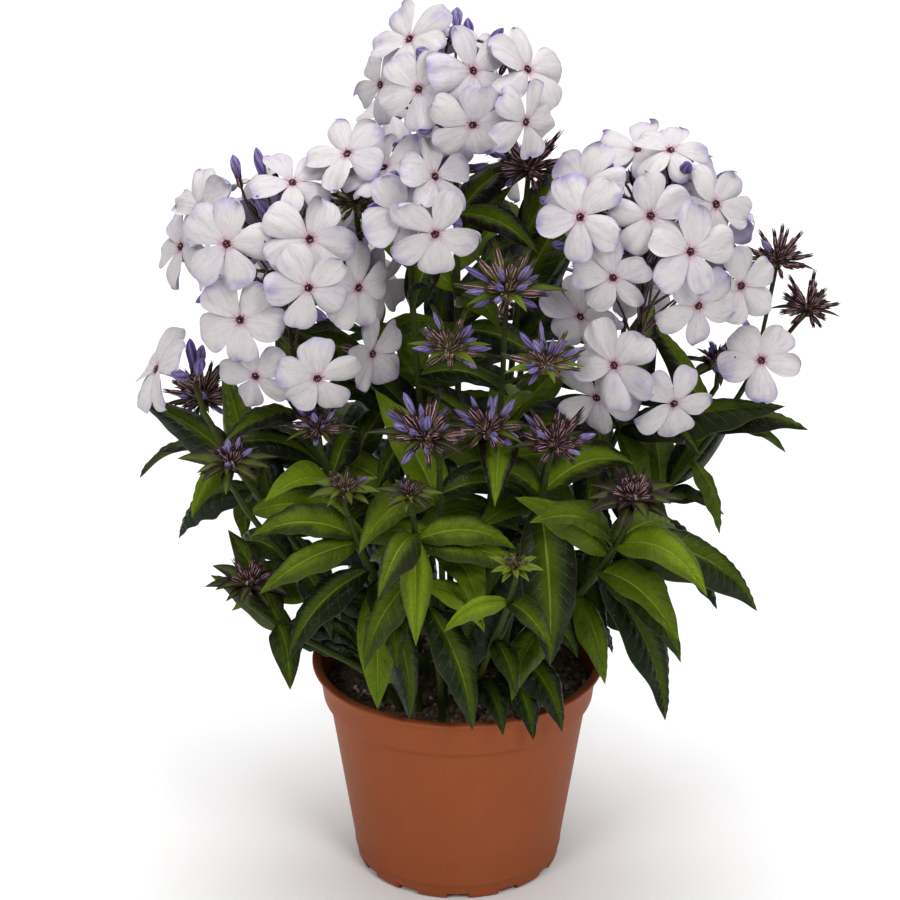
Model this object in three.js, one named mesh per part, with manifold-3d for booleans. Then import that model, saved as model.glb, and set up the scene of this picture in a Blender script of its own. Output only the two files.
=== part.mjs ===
// Garden phlox in flower, in the round nursery pot that it is sold in.
//
// Millimetres and degrees, +Z up. The origin is on the pot's axis, on the surface that the pot stands on.
// The plant's front is -Y. An azimuth of 0 points to the front and one of 90 to +X.
//
// The pot stands on its foot ring and holds a body of soil. Each shoot stands in a plain hole in the soil.
// A shoot is one stem with its opposite pairs of leaves, and it carries a head: an open panicle of florets
// on a flowering shoot, or a dark tip of bracts and buds on a shoot that isn't open yet.

import * as THREE from "three";
import { mergeVertices } from "three/addons/utils/BufferGeometryUtils.js";
import Module from "manifold-3d";

const wasm = await Module();
wasm.setup();

// ---------------------------------------------------------------------------------------------------------
// Driving dimensions

const POT_HEIGHT = 99;
const LIP_RADIUS = 65;
const LIP_HEIGHT = 1.8;
const BAND_TOP_RADIUS = 62.5;
const BAND_FOOT_RADIUS = 60;
const BAND_FOOT = 82;
const WALL_TOP_RADIUS = 57.5;
const WALL_FOOT_RADIUS = 45;
const FOOT_RING_INSIDE = 41.4;
const FOOT_RING_BEVEL = 0.8;
const FOOT_ROUNDING = 1.2;
const FLOOR_RADIUS = 44.2;
const WALL = 1.4;
const FLOOR_UNDERSIDE = 2;
const FLOOR_TOP = 3.6;
const TURNS = 24; // facets round the pot and the soil
const NOTCHES = 12;
const NOTCH_WIDTH = 9.5;
const NOTCH_HEIGHT = 3;
const NOTCH_DEPTH = 8.2;

const FIT = 0.35; // free gap between two pieces that touch
const SOIL_EDGE = 86;
const SOIL_CROWN = 88;
const SOIL_CROWN_RADIUS = 24;
const SOIL_SHOULDER = [45, 87.2]; // radius and height
const SOIL_BUMP = 0.8;
const SOIL_WAVES = [0.31, 0.27]; // radians for each millimetre, across and along
const PLANTING_DEPTH = 24;
const HOLE_CLEARANCE = 1.4 * FIT; // at the corners of a hole

const STEM_FOOT_RADIUS = 1.9;
const STEM_NECK_RADIUS = 1.5;
const AXIS_TOP_RADIUS = 1.4;
const STEM_LOW = [0.12, 0.36]; // lower handle of a stem's curve: share of its way out, and of its way up
const STEM_HIGH = [0.3, 0.36]; // upper handle, back from the neck
const STEM_SIDES = 4;
const STEM_STEPS = 4;

const LEAF_WIDTH = 0.31; // of its length
const LEAF_OUTLINE = { scale: 1.13, low: 0.8, blunt: 0.85, taper: 0.25 }; // widest below its middle
const LEAF_THICKNESS = 1.3; // at the midrib
const ABOVE = 0.2; // the share of a blade's thickness that lies above its own surface
const STEEPEST_RISE = 75;
const LEAF_FOLD = 0.32; // rise of an edge for each millimetre of half width
const OUTWARD_LEAN = 0.6; // how far a blade turns its upper face away from the middle of the plant
const MIDDLE = { y: 12, narrow: 0.35 }; // the plant opens to its front and back more than to its sides
const LOWEST_LEAF = 112; // height of its root
const TOP_LEAF = 13; // below the neck
const LOW_LEAVES = { height: 105, rise: 10, fall: -72, length: 1.12 }; // hanging, and longer than the table's
const HIGH_LEAVES = { height: 295, rise: 38, fall: -20, length: 0.82 };
const LEAF_SPREAD = { height: 4, azimuth: 24, rise: 16, fall: 20, sweep: 30, length: 0.24 };

const FLORET_RADIUS = 18.5;
const FLORET_SIZES = [0.88, 0.19]; // smallest floret as a share of that, and how much larger the largest is
const FLORET_SWAY = 34; // degrees within which a floret turns aside, up or down by itself
const FLORET_THICKNESS = 1.4; // at the eye
const TUBE = 15;
const CALYX = 8;
const BUD_LENGTH = 15;
const BUD_RADIUS = 1.9;
const BUD_FOOT_RADIUS = 1;
const STALK_RADIUS = 0.55;
const BUD_SPREAD = [0.7, 0.3]; // shortest bud of a cluster, and how much longer the longest is
const BRACT_SPREAD = [0.8, 0.4];
const BRACT_LENGTH = 17;
const KNOB_RADIUS = 4.2; // the core that a cluster of buds stands on
const KNOB_FOOT = -0.4; // faces of the core that point lower than this stay plain
const BRACT_RISE = 0.2; // how far a bract turns up
const SMALL_CLUSTER = 1.06; // clusters below this size have plain pointed buds

const AXIS_STRAIGHT = 5; // so far above the neck, the axis of a head still runs the way of its stem
const AXIS_PAST = 3; // its end, past the heart of the head
const BRANCH_SLOPE = 0.7; // drop of a side branch towards the axis for each millimetre outwards
const BRANCH_RANGE = [0.02, 0.95]; // shares of the axis between which branches leave it
const BRANCH_RADII = [0.9, 1.2];
const STALK_LOWEST = -62; // elevation of a floret whose stalk leaves the foot of the axis
const STALK_SPAN = 150; // degrees above that for a stalk from its top
const LOW_FACING = 0.3; // florets low on a head turn up to the light by the rest

const CLEARANCE = 4.4; // between points sampled on two pieces
const OWN_CLEARANCE = 3; // between points sampled on two leaves or florets of one piece
const STEM_SAMPLE = 4; // distance between two points sampled on a stem
const LEAF_SAMPLE = 4.5;
const POT_ROOM = { inside: 8, outside: 4, above: 3 }; // kept free round the pot's band and rim
const SOIL_ROOM = 4; // kept free above the soil

// The plant. foot: where the stem leaves the soil. neck: where the stem ends and its head begins.
// pairs, turn, leaf: number of leaf pairs, azimuth of the lowest pair, length of the longest leaf.
// own: leaves that stand out by themselves, as [height, azimuth, rise, fall, length], and more: leaves of the
// side shoots, that fill the room between the others. fallen: numbers of the leaves that it has lost.
// head: florets and single buds as [azimuth, elevation, reach] from the heart of the head, and the azimuth
// that a floret faces where that is another one, back: the number of florets that fill the rest of the dome,
// tips: bud clusters as [x, y, z, size].
const SHOOTS = [
  {
    name: "a", foot: [1, 9], neck: [-1, 4, 322], pairs: 6, turn: 20, leaf: 60,
    heart: [-1, 0, 362],
    florets: [
      [-80, 55, 34], [-30, 25, 34], [15, 40, 34], [60, 30, 34], [10, 5, 34], [37, 5, 38], [-90, 12, 32],
    ],
    buds: [[-60, 70, 34], [-110, 80, 34], [40, 12, 30]],
    back: 8,
    fallen: [3, 10, 11],
    more: [
      [255, 160, 40, 5, 60], [309, 60, 15, -45, 48], [255, 60, 15, -45, 60], [282, 140, 40, 5, 38],
      [273, -120, 40, 5, 60], [291, 120, 55, 30, 38],
    ],
  },
  {
    name: "b", foot: [-9, -7], neck: [-20, -22, 290], pairs: 6, turn: 65, leaf: 56,
    heart: [-22, -28, 326],
    florets: [[45, 45, 24], [25, -5, 24], [0, 10, 24], [-100, 60, 18], [-104, 39, 32, -75]],
    buds: [[-120, 50, 27]],
    back: 0,
    fallen: [10],
    more: [[219, 120, 35, -25, 48], [219, -100, 55, 30, 48]],
  },
  {
    name: "c", foot: [-27, -4], neck: [-68, -14, 232], pairs: 6, turn: 40, leaf: 66,
    heart: [-74, -15, 298],
    florets: [
      [-35, 25, 42], [20, 30, 42], [50, -5, 42], [-80, 35, 42], [30, 75, 42], [-90, 5, 43],
      [15, 5, 42], [85, -15, 43], [-25, -20, 42], [-21, -54, 53], [18, -36, 61], [66, -43, 56], [55, 40, 34],
    ],
    buds: [
      [-15, 65, 40], [5, 60, 36], [-30, 60, 34], [-10, 30, 36], [-30, 0, 36], [-65, -20, 38], [-145, 65, 42],
    ],
    back: 8,
    fallen: [6, 9, 11],
    more: [[183, 140, 55, 30, 60], [219, -160, 55, 30, 60]],
  },
  {
    name: "d", foot: [27, 2], neck: [74, -12, 230], pairs: 6, turn: 10, leaf: 68,
    heart: [79, -10, 303],
    florets: [
      [-60, 45, 44], [-38, 28, 53], [0, 35, 44], [55, 75, 44], [50, 35, 44], [20, 15, 44], [-20, 0, 44],
      [30, -20, 44], [-50, -35, 44], [63, -16, 46], [75, 45, 44], [-16, -35, 63], [14, -51, 72],
      [-33, -57, 70], [-159, 74, 38],
    ],
    buds: [[-100, 70, 40], [-10, 65, 42], [95, 55, 40], [30, 40, 38], [-35, 40, 38], [70, -35, 52]],
    back: 9,
    own: [[215, 95, 20, 5, 74], [214, 30, -20, -80, 40]],
    fallen: [9, 10],
    more: [[219, 160, 55, 30, 60]],
  },
  {
    name: "e", foot: [6, -17], neck: [18, -40, 244], pairs: 6, turn: 85, leaf: 58,
    tips: [[20, -42, 292, 1.15], [-4, -56, 272, 0.95], [36, -62, 268, 0.95]],
    fallen: [9, 10],
    more: [[219, -80, 55, 30, 48]],
  },
  {
    name: "f", foot: [-6, -28], neck: [-8, -66, 222], pairs: 4, turn: 30, leaf: 62,
    tips: [[-14, -72, 239, 1.1], [12, -66, 240, 0.95]],
    more: [[201, -140, 55, 30, 60]],
  },
  {
    name: "g", foot: [17, -28], neck: [37, -68, 222], pairs: 4, turn: 0, leaf: 66,
    tips: [[40, -72, 236, 0.95]],
    own: [[186, -62, -50, -85, 90], [204, 10, -25, -88, 80], [118, 40, 15, -75, 64]],
  },
  {
    name: "h", foot: [29, -21], neck: [70, -80, 202], pairs: 4, turn: 45, leaf: 60,
    tips: [[72, -85, 217, 1.1]],
    own: [
      [190, 95, 5, -62, 84], [190, 55, 0, -85, 64], [174, 70, -45, -85, 78], [184, -80, 12, -30, 54],
    ],
    fallen: [6],
    more: [[174, 40, 15, -45, 60], [174, 60, -10, -70, 60], [156, 20, -10, -70, 48]],
  },
  {
    name: "i", foot: [-34, -20], neck: [-94, -57, 207], pairs: 4, turn: 20, leaf: 56,
    tips: [[-96, -60, 221, 1]],
    fallen: [0, 5],
    more: [[147, -100, 15, -45, 48], [140, 48, 42, -81, 42]],
  },
  {
    name: "j", foot: [-26, -31], neck: [-86, -67, 157], pairs: 3, turn: 75, leaf: 48,
    tips: [[-88, -70, 170, 1]],
    fallen: [0, 3, 5],
    more: [[147, -140, 55, 30, 48], [140, -120, 40, 5, 48], [147, 14, 1, -88, 42]],
  },
  {
    name: "k", foot: [-17, -30], neck: [-46, -77, 206], pairs: 4, turn: 0, leaf: 60,
    tips: [[-47, -80, 219, 0.8]],
    more: [[174, -60, -10, -70, 60]],
    own: [[164, 0, -50, -88, 56], [156, 40, -35, -85, 74], [190, -75, 5, -35, 52]],
  },
  {
    name: "l", foot: [-37, -9], neck: [-106, -27, 226], pairs: 4, turn: 0, leaf: 54,
    heart: [-112, -28, 246],
    florets: [[-105, 10, 17]],
    buds: [
      [-60, 85, 15], [-35, 60, 16], [-30, 30, 15], [-5, 15, 14], [20, 50, 15], [120, 60, 14], [170, 30, 14],
    ],
    back: 0,
    fallen: [0, 3],
    more: [
      [192, -160, 55, 30, 60], [192, -120, -10, -70, 60], [210, -40, -10, -70, 38],
      [201, -120, 40, 5, 60],
    ],
  },
  {
    name: "m", foot: [37, 6], neck: [118, -2, 222], pairs: 4, turn: 15, leaf: 56,
    heart: [126, -8, 240],
    florets: [[10, 40, 20]],
    buds: [[-30, 40, 18], [-165, 65, 19], [-60, 20, 16]],
    tips: [[136, 2, 288, 0.85], [150, 2, 266, 0.8]],
    back: 0,
    own: [[210, 95, 10, -50, 40], [196, 50, -40, -85, 38]],
    fallen: [6],
    more: [
      [210, -140, 55, 30, 60], [183, 140, 40, 5, 60], [210, 80, 35, -25, 48], [174, 100, 15, -45, 38],
      [156, 40, -10, -70, 48], [165, 60, -10, -70, 60],
    ],
  },
  {
    name: "n", foot: [7, -38], neck: [23, -98, 184], pairs: 3, turn: 70, leaf: 40,
    tips: [[23, -100, 193, 0.6]],
  },
  {
    name: "o", foot: [-7, -40], neck: [-19, -90, 212], pairs: 4, turn: 45, leaf: 54,
    tips: [[-20, -94, 223, 0.7]],
    own: [[200, 0, -30, -88, 52], [196, 70, 0, -40, 54], [158, 60, -40, -85, 62], [180, -55, -25, -80, 54]],
  },
  {
    name: "p", foot: [14, 16], neck: [28, 12, 302], pairs: 5, turn: 0, leaf: 54,
    tips: [[30, 12, 326, 1.05]],
    more: [
      [255, 160, 55, 30, 60], [201, 140, 40, 5, 60], [291, 140, 55, 30, 48], [237, 140, 40, 5, 60],
      [264, 140, 55, 30, 60],
    ],
  },
  {
    name: "r", foot: [-20, -19], neck: [-57, -46, 219], pairs: 4, turn: 50, leaf: 58,
    tips: [[-59, -48, 232, 0.8]],
  },
  {
    name: "s", foot: [-17, 3], neck: [-42, -8, 304], pairs: 6, turn: 15, leaf: 50,
    tips: [[-43, -10, 319, 0.85]],
    more: [[237, -100, 40, 5, 60], [255, -80, 40, 5, 60]],
  },
  {
    name: "t", foot: [25, 24], neck: [72, 70, 216], pairs: 5, turn: 35, leaf: 66,
    heart: [78, 75, 258], florets: [], buds: [[0, 75, 36], [90, 50, 34]], back: 9, dome: 36,
    fallen: [8],
  },
  {
    name: "u", foot: [-25, 22], neck: [-70, 66, 214], pairs: 5, turn: 70, leaf: 66,
    heart: [-75, 72, 254], florets: [], buds: [[30, 70, 36], [-90, 45, 34]], back: 9, dome: 36,
    fallen: [8],
  },
  {
    name: "v", foot: [-3, 27], neck: [-8, 62, 276], pairs: 5, turn: 10, leaf: 64,
    heart: [-6, 72, 318], florets: [], buds: [[60, 70, 30]], back: 8, dome: 30,
    more: [[255, 0, -10, -70, 48]],
  },
  {
    name: "w", foot: [10, 36], neck: [30, 98, 204], pairs: 5, turn: 60, leaf: 58,
    tips: [[31, 101, 219, 1]],
    fallen: [8],
  },
  {
    name: "x", foot: [-36, 10], neck: [-110, 32, 196], pairs: 5, turn: 80, leaf: 58,
    tips: [[-113, 33, 210, 1]],
    fallen: [2, 4, 7],
    more: [[174, 0, -10, -70, 38]],
  },
  {
    name: "y", foot: [37, 17], neck: [112, 44, 206], pairs: 5, turn: 25, leaf: 58,
    tips: [[115, 45, 221, 1]],
    fallen: [0, 3, 8],
  },
];

const FINISH = {
  pot: { color: 0xa4573a, roughness: 0.45 },
  soil: { color: 0x2c211a, roughness: 0.95 },
  shoot: { color: 0x3d6420, roughness: 0.5 },
  bloom: { color: 0xe9e3f2, roughness: 0.6 },
  bud: { color: 0x4a2f3c, roughness: 0.6 },
};

// ---------------------------------------------------------------------------------------------------------
// Small tools

const rad = THREE.MathUtils.degToRad;

function at([x, y, z]) {
  return new THREE.Vector3(x, y, z);
}

function direction(azimuth, elevation) {
  const level = Math.cos(rad(elevation));
  return new THREE.Vector3(
    Math.sin(rad(azimuth)) * level,
    -Math.cos(rad(azimuth)) * level,
    Math.sin(rad(elevation)),
  );
}

function along(from, way, distance) {
  return from.clone().addScaledVector(way, distance);
}

// A repeatable stream of draws from 0 to 1.
function drawing(seed) {
  let state = seed;
  return () => {
    state = (state * 16807) % 2147483647;
    return state / 2147483647;
  };
}

// A seed of its own for each shoot.
function seedOf(name) {
  return name.charCodeAt(0) * 7919 + 13;
}

// A closed solid from a geometry, with its faces pointing out. Points nearer than the tolerance are joined.
function solid(geometry, tolerance = 1e-4) {
  geometry.deleteAttribute("normal");
  geometry.deleteAttribute("uv");
  const merged = mergeVertices(geometry, tolerance);
  const place = merged.attributes.position;
  const corners = merged.index.array;
  const triangles = [];
  const [a, b, c] = [new THREE.Vector3(), new THREE.Vector3(), new THREE.Vector3()];
  let volume = 0;
  for (let i = 0; i < corners.length; i += 3) {
    const [ia, ib, ic] = [corners[i], corners[i + 1], corners[i + 2]];
    if (ia !== ib && ib !== ic && ic !== ia) {
      triangles.push([ia, ib, ic]);
      a.fromBufferAttribute(place, ia);
      b.fromBufferAttribute(place, ib);
      c.fromBufferAttribute(place, ic);
      volume += a.dot(b.cross(c));
    }
  }
  const turned = volume < 0 ? triangles.map(([p, q, r]) => [p, r, q]) : triangles;
  return new wasm.Manifold(
    new wasm.Mesh({ numProp: 3, vertProperties: place.array, triVerts: new Uint32Array(turned.flat()) }),
  );
}

function fuse(pieces) {
  return pieces.reduce((whole, piece) => whole.add(piece));
}

function skinOf(whole) {
  const skin = whole.getMesh();
  const geometry = new THREE.BufferGeometry();
  geometry.setAttribute("position", new THREE.BufferAttribute(new Float32Array(skin.vertProperties), 3));
  geometry.setIndex(new THREE.BufferAttribute(new Uint32Array(skin.triVerts), 1));
  return geometry;
}

// The one body of a fused piece, without a hollow sealed inside it or a loose scrap beside it.
function oneBody(whole) {
  const bodies = solid(skinOf(whole), 2e-3).decompose();
  return bodies.reduce((largest, body) => (body.volume() > largest.volume() ? body : largest));
}

function mesh(name, whole, finish) {
  const geometry = skinOf(oneBody(whole));
  geometry.computeVertexNormals();
  const made = new THREE.Mesh(geometry, new THREE.MeshStandardMaterial({ metalness: 0, ...finish }));
  made.name = name;
  return made;
}

// A closed body through rings of points. Every ring has the same number of points, and an end ring may be
// one point. The facets of every other side are split the other way, so that both faces of a blade are
// split alike.
function loft(rings) {
  const points = rings.flat();
  const count = Math.max(...rings.map((ring) => ring.length));
  const first = rings.map((ring, i) => rings.slice(0, i).reduce((sum, r) => sum + r.length, 0));
  const corner = (i, k) => first[i] + (rings[i].length === 1 ? 0 : k % count);
  const triangles = [];
  for (let i = 0; i + 1 < rings.length; i += 1) {
    for (let k = 0; k < count; k += 1) {
      const [a, b] = [corner(i, k), corner(i, k + 1)];
      const [d, c] = [corner(i + 1, k), corner(i + 1, k + 1)];
      const split = k % 2 ? [[a, b, d], [b, c, d]] : [[a, b, c], [a, c, d]];
      triangles.push(...split);
    }
  }
  for (const [i, ring] of [[0, rings[0]], [rings.length - 1, rings.at(-1)]]) {
    for (let k = 1; k + 1 < ring.length; k += 1) {
      const cap = [corner(i, 0), corner(i, k), corner(i, k + 1)];
      triangles.push(i === 0 ? cap.reverse() : cap);
    }
  }
  const geometry = new THREE.BufferGeometry().setFromPoints(points);
  geometry.setIndex(triangles.flat());
  return solid(geometry);
}

// Rings of points round a line of points, with a radius at each, carried along it without a twist. The
// first ring starts at the way right, turned by an angle. A radius of 0 makes a ring one point.
function ringsAlong(points, radii, sides, right, turn = 0) {
  let level = right;
  return points.map((point, i) => {
    if (radii[i] === 0) {
      return [point];
    }
    const [before, after] = [points[Math.max(i - 1, 0)], points[Math.min(i + 1, points.length - 1)]];
    const way = after.clone().sub(before).normalize();
    level = level.clone().addScaledVector(way, -level.dot(way)).normalize();
    const up = level.clone().cross(way);
    return Array.from({ length: sides }, (_, k) => {
      const angle = rad(turn) + (2 * Math.PI * k) / sides;
      return along(along(point, level, radii[i] * Math.cos(angle)), up, radii[i] * Math.sin(angle));
    });
  });
}

// A tapered round member.
function limb(points, radii, sides) {
  const way = points[1].clone().sub(points[0]).normalize();
  const steep = Math.abs(way.z) > 0.8;
  const right = way.cross(steep ? new THREE.Vector3(1, 0, 0) : new THREE.Vector3(0, 0, 1)).normalize();
  return loft(ringsAlong(points, radii, sides, right));
}

// ---------------------------------------------------------------------------------------------------------
// Room: points sampled on every piece, so that a leaf that would cross another piece is bent clear of it

const room = new Map();

function cellOf(point, dx = 0, dy = 0, dz = 0) {
  const i = Math.floor(point.x / CLEARANCE) + dx;
  const j = Math.floor(point.y / CLEARANCE) + dy;
  const k = Math.floor(point.z / CLEARANCE) + dz;
  return (i * 4096 + j) * 4096 + k;
}

// owner is the node, and part tells the leaves or florets of a node apart.
function occupy(owner, part, points) {
  for (const point of points) {
    const cell = cellOf(point);
    if (!room.has(cell)) {
      room.set(cell, []);
    }
    room.get(cell).push({ owner, part, point });
  }
}

function isTaken(owner, part, point) {
  for (const dx of [-1, 0, 1]) {
    for (const dy of [-1, 0, 1]) {
      for (const dz of [-1, 0, 1]) {
        for (const other of room.get(cellOf(point, dx, dy, dz)) ?? []) {
          const least = other.owner === owner ? OWN_CLEARANCE : CLEARANCE;
          const self = other.owner === owner && other.part === part;
          if (!self && other.point.distanceTo(point) < least) {
            return true;
          }
        }
      }
    }
  }
  return false;
}

// The pot's rim and wall, and the soil, with room round them.
function isInPot(point) {
  const radius = Math.hypot(point.x, point.y);
  const { inside, outside, above } = POT_ROOM;
  const inRing = radius > BAND_FOOT_RADIUS - inside && radius < LIP_RADIUS + outside;
  const inSoil = radius < LIP_RADIUS && point.z < SOIL_CROWN + SOIL_ROOM;
  return (inRing && point.z < POT_HEIGHT + above) || inSoil;
}

function isClear(owner, part, points) {
  return !points.some((point) => isInPot(point) || isTaken(owner, part, point));
}

// ---------------------------------------------------------------------------------------------------------
// Pot and soil

function turned(profile) {
  const geometry = new THREE.LatheGeometry(profile.map(([r, z]) => new THREE.Vector2(r, z)), TURNS);
  geometry.rotateX(Math.PI / 2);
  return geometry;
}

function pot() {
  const body = solid(turned([
    [0, FLOOR_UNDERSIDE],
    [FOOT_RING_INSIDE - FOOT_RING_BEVEL, FLOOR_UNDERSIDE],
    [FOOT_RING_INSIDE, 0],
    [WALL_FOOT_RADIUS - FOOT_ROUNDING, 0],
    [WALL_FOOT_RADIUS, FOOT_ROUNDING],
    [WALL_TOP_RADIUS, BAND_FOOT - WALL],
    [BAND_FOOT_RADIUS, BAND_FOOT],
    [BAND_TOP_RADIUS, POT_HEIGHT - LIP_HEIGHT],
    [LIP_RADIUS, POT_HEIGHT - LIP_HEIGHT],
    [LIP_RADIUS, POT_HEIGHT],
    [BAND_TOP_RADIUS - WALL, POT_HEIGHT],
    [BAND_FOOT_RADIUS - WALL, BAND_FOOT + WALL],
    [WALL_TOP_RADIUS - WALL, BAND_FOOT],
    [FLOOR_RADIUS, FLOOR_TOP],
    [0, FLOOR_TOP],
  ]));
  let whole = body;
  for (let i = 0; i < NOTCHES; i += 1) {
    const cutter = new THREE.BoxGeometry(NOTCH_WIDTH, NOTCH_DEPTH, 2 * NOTCH_HEIGHT);
    cutter.translate(0, -(FOOT_RING_INSIDE - FOOT_RING_BEVEL + 0.2 + NOTCH_DEPTH / 2), 0);
    cutter.rotateZ((2 * Math.PI * i) / NOTCHES);
    whole = whole.subtract(solid(cutter));
  }
  return mesh("pot", whole, FINISH.pot);
}

function soil() {
  const body = turned([
    [0, FLOOR_TOP + FIT],
    [FLOOR_RADIUS - FIT, FLOOR_TOP + FIT],
    [WALL_TOP_RADIUS - WALL - FIT, BAND_FOOT],
    [BAND_FOOT_RADIUS - WALL - 2 * FIT, SOIL_EDGE],
    SOIL_SHOULDER,
    [SOIL_CROWN_RADIUS, SOIL_CROWN],
    [0, SOIL_CROWN],
  ]);
  const place = body.attributes.position;
  const [across, deep] = SOIL_WAVES;
  for (let i = 0; i < place.count; i += 1) {
    if (place.getZ(i) > SOIL_EDGE + 0.5) {
      const bump = Math.sin(across * place.getX(i) + 1) * Math.cos(deep * place.getY(i));
      place.setZ(i, place.getZ(i) + SOIL_BUMP * bump);
    }
  }
  let whole = solid(body);
  for (const shoot of SHOOTS) {
    const [x, y] = shoot.foot;
    const bottom = SOIL_CROWN - PLANTING_DEPTH - FIT;
    const hole = [at([x, y, bottom]), at([x, y, SOIL_CROWN + SOIL_ROOM])];
    const radius = STEM_FOOT_RADIUS + HOLE_CLEARANCE;
    whole = whole.subtract(limb(hole, [radius, radius], STEM_SIDES));
  }
  return mesh("soil", whole, FINISH.soil);
}

// ---------------------------------------------------------------------------------------------------------
// Stems

// The line of a stem: straight up out of the soil, leaning away, and upright again towards its head.
function stemLine(shoot) {
  const foot = at([...shoot.foot, SOIL_CROWN + 2]);
  const neck = at(shoot.neck);
  const way = neck.clone().sub(foot);
  const handle = ([out, up]) => new THREE.Vector3(out * way.x, out * way.y, up * way.z);
  const low = foot.clone().add(handle(STEM_LOW));
  const high = neck.clone().sub(handle(STEM_HIGH));
  return new THREE.CubicBezierCurve3(foot, low, high, neck);
}

function stemPoints(shoot) {
  const line = stemLine(shoot);
  const planted = at([...shoot.foot, SOIL_CROWN - PLANTING_DEPTH]);
  const grown = Array.from({ length: STEM_STEPS + 1 }, (_, i) => line.getPoint(i / STEM_STEPS));
  return [planted, ...grown];
}

// The way that a stem points at its neck.
function neckWay(shoot) {
  const points = stemPoints(shoot);
  return points.at(-1).clone().sub(points.at(-2)).normalize();
}

function stemAtHeight(shoot, height) {
  const points = stemPoints(shoot);
  const i = Math.max(1, points.findIndex((point) => point.z > height));
  const share = (height - points[i - 1].z) / (points[i].z - points[i - 1].z);
  return points[i - 1].clone().lerp(points[i], share);
}

function stem(shoot) {
  const points = stemPoints(shoot);
  const radii = points.map((_, i) => {
    const share = Math.max(0, i - 1) / STEM_STEPS;
    return THREE.MathUtils.lerp(STEM_FOOT_RADIUS, STEM_NECK_RADIUS, share);
  });
  return limb(points, radii, STEM_SIDES);
}

function stemSamples(shoot) {
  const line = stemLine(shoot);
  const steps = Math.ceil(line.getLength() / STEM_SAMPLE);
  return Array.from({ length: steps + 1 }, (_, i) => line.getPoint(i / steps));
}

// ---------------------------------------------------------------------------------------------------------
// Leaves

// A leaf rises from its stem and falls towards its tip: two straight halves, rounded into one curve.
function leafLine(leaf) {
  const bend = along(leaf.root, direction(leaf.azimuth, leaf.rise), leaf.length / 2);
  const tip = along(bend, direction(leaf.azimuth + leaf.sweep, leaf.fall), leaf.length / 2);
  return new THREE.QuadraticBezierCurve3(leaf.root, bend, tip);
}

// Half width at a share of the length, as a share of the widest half width: lance-shaped, widest below the
// middle.
function leafOutline(share) {
  const { scale, low, blunt, taper } = LEAF_OUTLINE;
  return scale * Math.sin(Math.PI * share ** low) ** blunt * (1 - taper * share);
}

function leafFrame(leaf, share) {
  const line = leafLine(leaf);
  const way = line.getTangent(share);
  const level = direction(leaf.azimuth + 90 + leaf.sweep * share, 0);
  const outward = new THREE.Vector3(MIDDLE.narrow * leaf.root.x, leaf.root.y - MIDDLE.y, 0).normalize();
  const face = way.clone().cross(level).normalize().addScaledVector(outward, OUTWARD_LEAN);
  face.addScaledVector(way, -face.dot(way)).normalize();
  const right = way.clone().cross(face).normalize();
  return { point: line.getPoint(share), right, face };
}

function halfWidth(leaf, share) {
  return (leaf.length * LEAF_WIDTH * leafOutline(share)) / 2;
}

// Shares of the length at which a blade has a section. A small leaf has two.
const STATIONS = [0.13, 0.4, 0.72];
const SMALL_STATIONS = [0.15, 0.55];
const SMALL_LEAF = 62;

function blade(leaf) {
  const rings = (leaf.length < SMALL_LEAF ? SMALL_STATIONS : STATIONS).map((share) => {
    const { point, right, face } = leafFrame(leaf, share);
    const wide = halfWidth(leaf, share);
    const edge = along(point, face, LEAF_FOLD * wide);
    return [
      along(edge, right, wide),
      along(point, face, ABOVE * LEAF_THICKNESS),
      along(edge, right, -wide),
      along(point, face, (ABOVE - 1) * LEAF_THICKNESS),
    ];
  });
  const line = leafLine(leaf);
  return loft([[line.getPoint(0)], ...rings, [line.getPoint(1)]]);
}

function leafSamples(leaf) {
  const samples = [];
  const rows = Math.ceil(leaf.length / LEAF_SAMPLE);
  for (let i = 1; i <= rows; i += 1) {
    const share = i / rows;
    const { point, right, face } = leafFrame(leaf, share);
    const wide = i < rows ? halfWidth(leaf, share) : 0;
    const columns = wide > OWN_CLEARANCE ? [-1, -0.5, 0, 0.5, 1] : [0];
    for (const side of columns) {
      samples.push(along(along(point, right, side * wide), face, LEAF_FOLD * Math.abs(side) * wide));
    }
  }
  return samples;
}

// The ways in which a leaf may bend to stay clear: turned, raised or lowered, and shorter.
const BENDS = [
  [0, 0], [14, 0], [-14, 0], [0, 14], [0, -12], [28, 0], [-28, 0], [16, 16], [-16, 16], [20, -14], [-20, -14],
  [0, 30], [42, 0], [-42, 0], [32, 25], [-32, 25], [0, 46], [55, 15], [-55, 15],
];
const SIZES = [1, 0.82, 0.66];
const ROOT_SAMPLES = 6; // samples next to the stem, where neighbours of one pair meet

function bentClear(owner, part, leaf) {
  for (const size of SIZES) {
    for (const [turn, lift] of BENDS) {
      const bent = {
        ...leaf,
        azimuth: leaf.azimuth + turn,
        rise: Math.min(leaf.rise + lift, STEEPEST_RISE),
        fall: leaf.fall + lift,
        length: leaf.length * size,
      };
      if (isClear(owner, part, leafSamples(bent).slice(ROOT_SAMPLES))) {
        return bent;
      }
    }
  }
  return null;
}

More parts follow.
